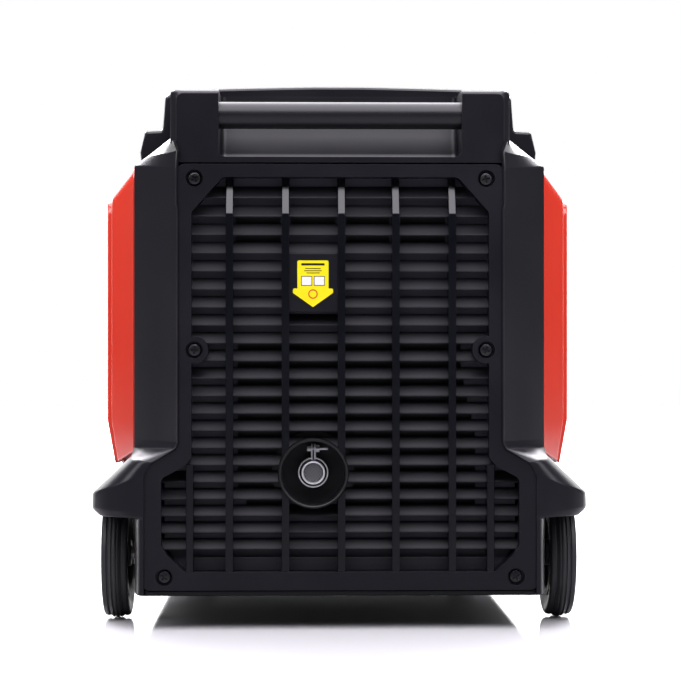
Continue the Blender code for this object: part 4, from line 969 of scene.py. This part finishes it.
def side_cover(name, node, sign, body):
    """A skin from the base border over the ramp to the raised flat, with a wall inside it."""
    low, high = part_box(node)
    flat = tread_side - 0.0070
    edge = body_half + 0.0006
    rings = []
    for x, inset in (
        (edge, 0.0), (edge + 0.0038, 0.0002), (edge + 0.0048, 0.0012), (flat - 0.0052, 0.0232),
        (flat - 0.0045, 0.0250),
        (flat - 0.0041, 0.0272), (flat - 0.0039, 0.0284), (flat - 0.0014, 0.0289),
        (flat - 0.0003, 0.0296), (flat, 0.0312), (flat, 0.0360),
    ):
        small = min(inset, 0.012)
        foot = 0.1600 - 0.60 * (x - 0.222 * (x - edge) - body_half)
        outline = [
            (low.y + inset, foot, 0.003), (fender_front - 0.006 + small, foot, 0.008),
            (fender_front + 0.011 + small, low.z + 0.020, 0.010),
            (fender_front + 0.014 + small, low.z + small * 0.5, 0.005),
            (high.y - inset, low.z + small * 0.5, 0.014), (high.y - inset, high.z - inset, 0.016),
            (low.y + inset, high.z - inset, 0.016),
        ]
        rings.append([(sign * x, y, z) for y, z in arcs(outline, 0.006, 5)])
    mesh = skinned(rings)
    for level in (taper_top, taper_low):
        bmesh.ops.bisect_plane(mesh, geom=mesh.verts[:] + mesh.edges[:] + mesh.faces[:],
                               plane_co=(0, 0, level), plane_no=(0, 0, 1))
    for vert in mesh.verts:
        lower = max(0.0, min(1.0, (taper_top - vert.co.z) / (taper_top - taper_low)))
        vert.co.x -= sign * lower * max(0.0, abs(vert.co.x) - edge) * taper_share
    bmesh.ops.recalc_face_normals(mesh, faces=mesh.faces)
    if sum(face.normal.x * face.calc_area() for face in mesh.faces) * sign < 0:
        bmesh.ops.reverse_faces(mesh, faces=mesh.faces)
    made = piece(name, mesh, gloss_red, body, [node], smooth=24)
    return walled(made, cover_wall)


left_cover = side_cover("left_cover", "side_cover_left", -1, "chassis")
right_cover = side_cover("right_cover", "side_cover_right", 1, "service_cover")
scoop_place = (0.2100, 0.4125)
scoop_radius = 0.0052
carved(right_cover, [plug("Y", scoop_place, scoop_radius, -0.230, -0.165, 32)], smooth=24)
grip_low, grip_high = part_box("recoil_grip")
pocket = centre("recoil_grip", "yz")
pocket_wide = 0.033
pocket_tall = 0.020
pocket_corners = [(pocket_wide, pocket_tall), (-pocket_wide, pocket_tall), (-pocket_wide, -pocket_tall),
                  (pocket_wide, -pocket_tall)]
pocket_shape = [(pocket[0] + y, pocket[1] + z) for y, z in arcs(pocket_corners, 0.010, 6)]
carved(left_cover, [slab(pocket_shape, "X", -tread_side, -body_half)], smooth=24)
softened(left_cover, 0.0008, 2, 50)
cup_rings = []
for x, grow in ((-0.2222, 0.0030), (-0.2226, 0.0020), (-0.2222, -0.0006), (-0.2200, -0.0010),
                (-0.2040, -0.0022), (-0.2034, -0.0030)):
    scale_y = (pocket_wide + grow) / pocket_wide
    scale_z = (pocket_tall + grow) / pocket_tall
    cup_rings.append([(x, pocket[0] + (y - pocket[0]) * scale_y, pocket[1] + (z - pocket[1]) * scale_z)
                      for y, z in pocket_shape])
cup = skinned(cup_rings)
bmesh.ops.recalc_face_normals(cup, faces=cup.faces)
pocket_cup = piece("starter_pocket", cup, satin_black)
walled(pocket_cup, pocket_wall, offset=0)

# Wheels. Solid black rubber tyres with four grooves run on dark spoked rims; a steel axle with
# washers and push-on caps carries them.
rubber = finish("black_rubber", (0.026, 0.026, 0.029), (0.015, 0.015, 0.017), (0.42, 0.60), patch=70,
                grain=900, bump=0.12)
rim_grey = finish("dark_grey_rim", (0.060, 0.061, 0.066), (0.045, 0.046, 0.050), (0.35, 0.45))
plain_steel = finish("plain_steel", (0.55, 0.54, 0.52), (0.42, 0.41, 0.40), (0.24, 0.40), patch=120,
                     Metallic=1.0)
tyre_half = (tyre_high.x - tyre_low.x) / 2


def tread_profile():
    """Half round shoulders and a crowned tread with four grooves."""
    points = [(0.0415, -tyre_half + 0.004), (0.0500, -tyre_half + 0.0006), (0.0550, -tyre_half)]
    for k in range(5):
        turn = math.pi / 2 * k / 4
        points.append((0.0560 + 0.0030 * math.sin(turn), -tyre_half + 0.0028 * (1 - math.cos(turn))))
    grooves = [-0.0066, -0.0022, 0.0022, 0.0066]
    for middle in grooves:
        crown = wheel_radius - 0.75 * middle * middle / 0.02
        points += [(crown, middle - 0.0011), (crown - 0.0004, middle - 0.0007),
                   (crown - 0.0011, middle - 0.0005),
                   (crown - 0.0011, middle + 0.0005), (crown - 0.0004, middle + 0.0007),
                   (crown, middle + 0.0011)]
        if middle == grooves[1]:
            points += [(wheel_radius - 0.00002, 0.0)]
    right_shoulder = [(r, -along) for r, along in reversed(points[:8])]
    return points + right_shoulder


def wheel(name):
    """A tyre and its spoked rim."""
    low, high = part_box(f"tyre_{name}")
    x = (low.x + high.x) / 2
    tyre = [(r, x + along) for r, along in tread_profile()]
    piece(f"tread_{name}", turned("X", wheel_centre, tyre, 120, closed=True), rubber, f"wheel_{name}",
          [f"tyre_{name}"], smooth=50)
    rim = [
        (0.0063, -0.0120), (0.0115, -0.0120), (0.0125, -0.0110), (0.0130, -0.0045), (0.0335, -0.0045),
        (0.0350, -0.0060), (0.0352, -0.0100), (0.0365, -0.0112), (0.0408, -0.0108),
    ]
    rim += [(r, -along) for r, along in reversed(rim)]
    rim_mesh = turned("X", wheel_centre, [(r, x + along) for r, along in rim], 72, closed=True)
    made = piece(f"spoked_rim_{name}", rim_mesh, rim_grey, f"wheel_{name}",
                 [f"rim_{name}"])
    hole_shape = [(-0.0045, 0.0170, 0.002), (0.0045, 0.0170, 0.002), (0.0090, 0.0305, 0.003),
                  (-0.0090, 0.0305, 0.003)]
    holes = []
    for k in range(6):
        turn = math.tau * k / 6
        hole = slab(arcs(hole_shape, 0.002), "X", x - 0.02, x + 0.02)
        holes.append(swung(hole, turn, "X", (0, *wheel_centre)))
    carved(made, holes)
    softened(made, 0.0006, 2)


wheel("left")
wheel("right")
frame["nodes"]["wheel_axle"].data.materials.clear()
frame["nodes"]["wheel_axle"].data.materials.append(plain_steel)
for sign, name in ((-1, "left"), (1, "right")):
    washer = sleeve("X", wheel_centre, 0.0062, 0.0105, sign * (body_half + 0.0040),
                    sign * (body_half + 0.0056), 48)
    piece(f"axle_washer_{name}", washer, plain_steel)

# Control end. A dark grey panel closes the front hood; its fittings are pressed or screwed in
# from behind. Two round mains sockets with three blades each, a low-voltage socket, a push-to-reset
# breaker, a rotary engine switch, a start button, an economy rocker and an earth stud with wing nut.
panel_grey = finish("panel_grey_plastic", (0.046, 0.047, 0.052), (0.036, 0.037, 0.042), (0.42, 0.50))
fitting_black = finish("fitting_black", (0.010, 0.010, 0.012), (0.007, 0.007, 0.009), (0.26, 0.34))
lamp_green = finish("green_lens", (0.02, 0.30, 0.05), (0.015, 0.24, 0.04), (0.10, 0.16), bump=0.0)
lamp_amber = finish("amber_lens", (0.62, 0.24, 0.01), (0.55, 0.20, 0.01), (0.10, 0.16), bump=0.0)
lamp_red = finish("red_lens", (0.55, 0.02, 0.01), (0.48, 0.015, 0.01), (0.10, 0.16), bump=0.0)
panel_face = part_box("control_panel")[1].y


def oblong(low, high):
    """The corners of a rectangle between its lower left and upper right."""
    return [(high[0], low[1]), (high[0], high[1]), (low[0], high[1]), (low[0], low[1])]


def ring_round(name, place, inner, outer, back, front, material, body="chassis",
               replaced=()):
    """A flat ring with rounded front edges; its back and front are measured from the panel's face."""
    back, front = panel_face + back, panel_face + front
    soft = min(0.0008, (outer - inner) / 3)
    profile = [
        (inner, back), (outer, back), (outer, front - soft), (outer - soft * 0.3, front - soft * 0.3),
        (outer - soft, front), (inner + soft, front), (inner + soft * 0.3, front - soft * 0.3),
        (inner, front - soft),
    ]
    return piece(name, turned("Y", place, profile, 72, closed=True), material, body, replaced)


def disc(name, place, radius, back, front, material, body="chassis", replaced=(),
         dome=0.0):
    """A round plate or button, measured like the ring, with a slightly raised or hollow face."""
    back, front = panel_face + back, panel_face + front
    soft = min(0.001, radius / 4)
    profile = [
        (0, back), (radius, back), (radius, front - soft), (radius - soft * 0.3, front - soft * 0.3),
        (radius - soft, front), (radius * 0.5, front + dome * 0.8), (0, front + dome),
    ]
    return piece(name, turned("Y", place, profile, 64), material, body, replaced)


for name in ("left", "right"):
    place = centre(f"ac_outlet_{name}", "xz")
    ring_round(f"socket_rim_{name}", place, 0.0190, 0.0240, -0.004, 0.0030, fitting_black,
               replaced=[f"ac_outlet_{name}"])
    face = disc(f"socket_face_{name}", place, 0.0191, -0.012, 0.0012, fitting_black,
                replaced=[f"ac_outlet_{name}"])
    x, z = place
    back, front = panel_face - 0.009, panel_face + 0.01
    carved(face, [block((x - 0.0078, back, z - 0.001), (x - 0.0058, front, z + 0.0085), 0),
                  block((x + 0.0058, back, z + 0.0005), (x + 0.0078, front, z + 0.0085), 0),
                  plug("Y", (x, z - 0.0075), 0.0026, back, front, 24)])
place = centre("dc_outlet", "xz")
ring_round("low_voltage_rim", place, 0.0100, 0.0140, -0.004, 0.0030, fitting_black,
           replaced=["dc_outlet"])
disc("low_voltage_floor", place, 0.0101, -0.014, -0.010, deep_black, replaced=["dc_outlet"])
ring_round("low_voltage_sleeve", place, 0.0088, 0.0100, -0.010, 0.0005, plain_steel)
place = centre("breaker_button", "xz")
ring_round("breaker_nut", place, 0.0064, 0.0095, -0.001, 0.0020, plain_steel)
disc("breaker_cap", place, 0.0060, -0.014, 0.0048, fitting_black, body="breaker_button",
     replaced=["breaker_button"], dome=0.0002)
place = centre("engine_switch", "xz")
ring_round("switch_plate", place, 0.0226, 0.0275, -0.001, 0.0012, fitting_black)
knob_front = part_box("engine_switch")[1].y
disc("switch_base", place, 0.0220, -0.014, 0.0055, fitting_black, body="engine_switch",
     replaced=["engine_switch"])
x, z = place
grip_outline = [(x + 0.0055, z - 0.0195, 0.004), (x + 0.0040, z + 0.0200, 0.0035),
                (x - 0.0040, z + 0.0200, 0.0035), (x - 0.0055, z - 0.0195, 0.004)]
grip_bar = slab(arcs(grip_outline, 0.004, 5), "Y", panel_face + 0.004, knob_front, 0.0014)
piece("switch_grip", grip_bar, fitting_black, "engine_switch", ["engine_switch"])
pointer = block((x - 0.0007, knob_front - 0.0004, z + 0.0075),
                (x + 0.0007, knob_front + 0.0001, z + 0.0180), 0)
piece("switch_pointer", pointer, white_ink, "engine_switch")
for k, angle in enumerate((0, 45, 90)):
    tick = block((-0.0006, panel_face - 0.0002, 0.0295), (0.0006, panel_face + 0.0002, 0.0330), 0)
    piece(f"switch_tick_{k + 1}", swung(tick, math.radians(angle), "Y", (x, 0, z)), white_ink)
place = centre("start_button", "xz")
ring_round("start_bezel", place, 0.0114, 0.0150, -0.001, 0.0035, plain_steel)
disc("start_cap", place, 0.0110, -0.014, 0.0046, gloss_red, body="start_button",
     replaced=["start_button"], dome=-0.0012)
x, z = centre("eco_switch", "xz")
bezel_corners = oblong((-0.0120, -0.0160), (0.0120, 0.0160))
bezel_outline = [(x + a, z + b) for a, b in arcs(bezel_corners, 0.003, 4)]
bezel_mesh = slab(bezel_outline, "Y", panel_face - 0.001, panel_face + 0.0022, 0.0007)
bezel = piece("rocker_bezel", bezel_mesh, fitting_black)
carved(bezel, [block((x - 0.0096, panel_face - 0.02, z - 0.0132),
                     (x + 0.0096, panel_face + 0.02, z + 0.0132), 0)])
place = centre("ground_terminal", "xz")
stud_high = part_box("ground_terminal")[1]
stud_profile = [(0, panel_face - 0.014), (0.0026, panel_face - 0.014), (0.0026, stud_high.y - 0.0006),
                (0.0020, stud_high.y), (0, stud_high.y)]
piece("earth_stud", turned("Y", place, stud_profile, 32), plain_steel,
      replaced=["ground_terminal"])
nut_profile = [
    (0.0026, panel_face + 0.0016), (0.0058, panel_face + 0.0016), (0.0060, panel_face + 0.0022),
    (0.0048, panel_face + 0.0078), (0.0044, panel_face + 0.0084), (0.0026, panel_face + 0.0084),
]
piece("earth_nut", turned("Y", place, nut_profile, 40, closed=True), bright_zinc,
      replaced=["ground_terminal"])
x, z = place
wing_shape = [(0.0040, 0.0035, 0.0005), (0.0105, 0.0075, 0.0035), (0.0105, 0.0140, 0.0030),
              (0.0060, 0.0120, 0.003), (0.0030, 0.0078, 0.0005)]
for k, side_of in enumerate((-1, 1)):
    outline = [(x + side_of * out, panel_face + up, r) for out, up, r in wing_shape]
    wing = slab(arcs(outline, 0.001, 4), "Z", z - 0.0009, z + 0.0009, 0.0004)
    piece(f"earth_wing_{k + 1}", wing, bright_zinc, replaced=["ground_terminal"])
ring_round("earth_washer", place, 0.0027, 0.0072, -0.0005, 0.0014, bright_zinc)
lamp_level = 0.378
lamp_pitch = 0.014
for k, lens in enumerate((lamp_green, lamp_amber, lamp_red)):
    place = (-lamp_pitch + lamp_pitch * k, lamp_level)
    ring_round(f"lamp_ring_{k + 1}", place, 0.0031, 0.0044, -0.001, 0.0010, fitting_black)
    disc(f"lamp_lens_{k + 1}", place, 0.0031, -0.001, 0.0012, lens, dome=0.0009)


def band_round(name, low, high, thick=0.0011):
    """A thin printed line round a group of fittings, with rounded corners."""
    rings = []
    for inset in (0.0, thick):
        corners = oblong((low[0] + inset, low[1] + inset), (high[0] - inset, high[1] - inset))
        rings.append(arcs(corners, 0.008 - inset, 6))
    mesh = bmesh.new()
    front = panel_face + 0.00015
    outer = [mesh.verts.new((a, front, b)) for a, b in rings[0]]
    inner = [mesh.verts.new((a, front, b)) for a, b in rings[1]]
    for i in range(len(outer)):
        mesh.faces.new((outer[i - 1], outer[i], inner[i], inner[i - 1]))
    grown = bmesh.ops.extrude_face_region(mesh, geom=mesh.faces[:])
    moved = [part for part in grown["geom"] if isinstance(part, bmesh.types.BMVert)]
    bmesh.ops.translate(mesh, verts=moved, vec=(0, -0.0004, 0))
    bmesh.ops.recalc_face_normals(mesh, faces=mesh.faces)
    return piece(name, mesh, white_ink)


band_round("outlet_border", (-0.080, 0.112), (0.080, 0.242))
band_round("starting_border", (-0.105, 0.276), (0.120, 0.398))
vents = []
vent_half = 0.090
vent_height = 0.0045
for row in range(5):
    z = 0.052 + row * 0.0095
    vent = arcs(oblong((-vent_half, z), (vent_half, z + vent_height)), 0.0022, 4)
    vents.append(slab(vent, "Y", panel_face - 0.0022, panel_face + 0.01))

# Fuel cap. A black moulded cap with a scalloped grip rim screws on the filler neck; its domed top
# carries a raised bar to turn it by.
cap_outline = []
for k in range(144):
    turn = math.tau * k / 144
    radius = cap_radius - 0.0007 - 0.0007 * math.cos(18 * turn)
    cap_outline.append((cap_centre[0] + radius * math.cos(turn), cap_centre[1] + radius * math.sin(turn)))
cap_rings = []
for z, scale in ((cap_low.z, 0.985), (cap_low.z + 0.001, 1.0), (cap_high.z - 0.0085, 1.0),
                 (cap_high.z - 0.0065, 0.985),
                 (cap_high.z - 0.0052, 0.945), (cap_high.z - 0.0042, 0.86), (cap_high.z - 0.0034, 0.60)):
    cap_rings.append([(cap_centre[0] + (a - cap_centre[0]) * scale,
                       cap_centre[1] + (b - cap_centre[1]) * scale, z)
                      for a, b in cap_outline])
piece("filler_cap", rings_joined(cap_rings), satin_black, "cap", ["fuel_cap"], smooth=40)
grip_half = (0.0270, 0.0045)
bar_outline = oblong((-grip_half[0], cap_centre[1] - grip_half[1]),
                     (grip_half[0], cap_centre[1] + grip_half[1]))
turning_bar = slab(arcs(bar_outline, 0.0044, 6), "Z", cap_high.z - 0.0050, cap_high.z - 0.0003, 0.0014)
piece("filler_cap_bar", turning_bar, satin_black, "cap", ["fuel_cap"])

# Feet, latch and starter grip. Rubber buffers are bolted under the base pan, the door latch is a
# coin-slot quarter turn flush with the cover, and the starter grip is a rounded bar in its pocket,
# in front of a pressed steel eyelet.
for name in ("left", "right"):
    foot_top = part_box(f"foot_{name}")[1].z
    place = centre(f"foot_{name}", "xy")
    foot = [
        (0, 0.0004), (0.0150, 0.0004), (0.0166, 0.0008), (0.0176, 0.0020), (0.0180, 0.0060),
        (0.0160, 0.0100), (0.0160, foot_top - 0.002), (0.0155, foot_top), (0, foot_top),
    ]
    piece(f"buffer_{name}", turned("Z", place, foot, 48), rubber,
          replaced=[f"foot_{name}"])
latch_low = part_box("service_latch")[0]
latch_place = centre("service_latch", "yz")
latch_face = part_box("side_cover_right")[1].x + 0.0006
latch = [
    (0, latch_low.x), (0.0136, latch_low.x), (0.0140, latch_face - 0.0018),
    (0.0132, latch_face - 0.0004), (0.0122, latch_face), (0, latch_face),
]
door_latch = piece("door_latch", turned("X", latch_place, latch, 64), fitting_black, "service_latch",
                   ["service_latch"])
y, z = latch_place
coin_slot = block((latch_face - 0.0030, y - 0.0105, z - 0.0012),
                  (latch_face + 0.01, y + 0.0105, z + 0.0012), 0)
carved(door_latch, [coin_slot])
softened(door_latch, 0.0004, 2, 50)
grip_outline = oblong((grip_low.y, grip_low.z), (grip_high.y, grip_high.z))
starter = slab(arcs(grip_outline, 0.0085, 6), "X", grip_low.x, grip_high.x, 0.0030, 4)
piece("starter_handle", starter, fitting_black, "starter_grip", ["recoil_grip"])
carved(pocket_cup, [plug("X", pocket, 0.0050, -0.215, -0.190, 40)])
eyelet = [
    (0.0028, -0.1990), (0.0026, -0.2015), (0.0030, -0.2026), (0.0040, -0.2030), (0.0062, -0.2028),
    (0.0064, -0.2022), (0.0049, -0.2018), (0.0049, -0.1990),
]
piece("starter_eyelet", turned("X", pocket, eyelet, 48, closed=True), plain_steel)

# The rest. Castings, tank, cases and steel parts inside take the finish of their slot; the plainer
# ones get a copy with merged facets and rounded edges. Matte black covers the pressed base.
cast_metal = finish("cast_aluminium", (0.52, 0.52, 0.53), (0.38, 0.38, 0.39), (0.42, 0.60), patch=60,
                    grain=500, bump=0.35, depth=0.0003, Metallic=1.0)
by_slot = {
    "shell_black": satin_black, "gloss_black": gloss_black, "cover_red": gloss_red,
    "button_red": gloss_red,
    "grey_plastic": panel_grey, "tyre_rubber": rubber, "black_rubber": rubber,
    "bright_steel": plain_steel,
    "zinc_steel": bright_zinc, "black_steel": screw_black, "cast_aluminium": cast_metal,
}
matte_black = finish("matte_black_steel", (0.010, 0.010, 0.011), (0.006, 0.006, 0.007), (0.75, 0.9),
                     grain=700, Specular_IOR_Level=0.12)
by_node = {"base_pan": matte_black, "muffler": hot_steel}
for part in frame["record"]["subparts"]:
    node = frame["nodes"][part["node"]]
    node.data.materials.clear()
    node.data.materials.append(by_node.get(part["node"], by_slot[part["material_slot"]]))
    node.data.shade_smooth()
    node.data.set_sharp_from_angle(angle=math.radians(35))


def refined(node_name, name, body, width, extra=()):
    """A copy of a plain piece with its facets merged and its edges rounded."""
    part = next(part for part in frame["record"]["subparts"] if part["node"] == node_name)
    mesh = bmesh.new()
    mesh.from_mesh(frame["nodes"][node_name].data)
    bmesh.ops.remove_doubles(mesh, verts=mesh.verts, dist=1e-5)
    bmesh.ops.dissolve_limit(mesh, angle_limit=math.radians(1), verts=mesh.verts, edges=mesh.edges)
    bmesh.ops.recalc_face_normals(mesh, faces=mesh.faces)
    material = by_node.get(node_name, by_slot[part["material_slot"]])
    made = piece(name, mesh, material, body, [node_name], smooth=35)
    if extra:
        carved(made, extra)
    return softened(made, width, 2, 40)


refined("control_panel", "panel_plate", "chassis", 0.0007, vents)
for node, name, body, width in (
    ("engine_block", "crankcase", "chassis", 0.0012), ("cylinder_head", "finned_head", "chassis", 0.0006),
    ("muffler", "silencer", "chassis", 0.0012), ("inverter_module", "inverter_case", "chassis", 0.0008),
    ("battery", "battery_case", "chassis", 0.0015), ("fuel_tank", "tank_moulding", "chassis", 0.0020),
    ("air_cleaner", "air_box", "chassis", 0.0015), ("base_pan", "pressed_base", "chassis", 0.0008),
    ("pull_release_button", "release_key", "release_button", 0.0008),
    ("eco_switch", "rocker_key", "eco_switch", 0.0006),
):
    refined(node, name, body, width)

for made in list(bpy.context.scene.objects):
    if made.type == "MESH" and made.name not in frame["nodes"]:
        level = made.modifiers.new("even_shading", "WEIGHTED_NORMAL")
        level.keep_sharp = True
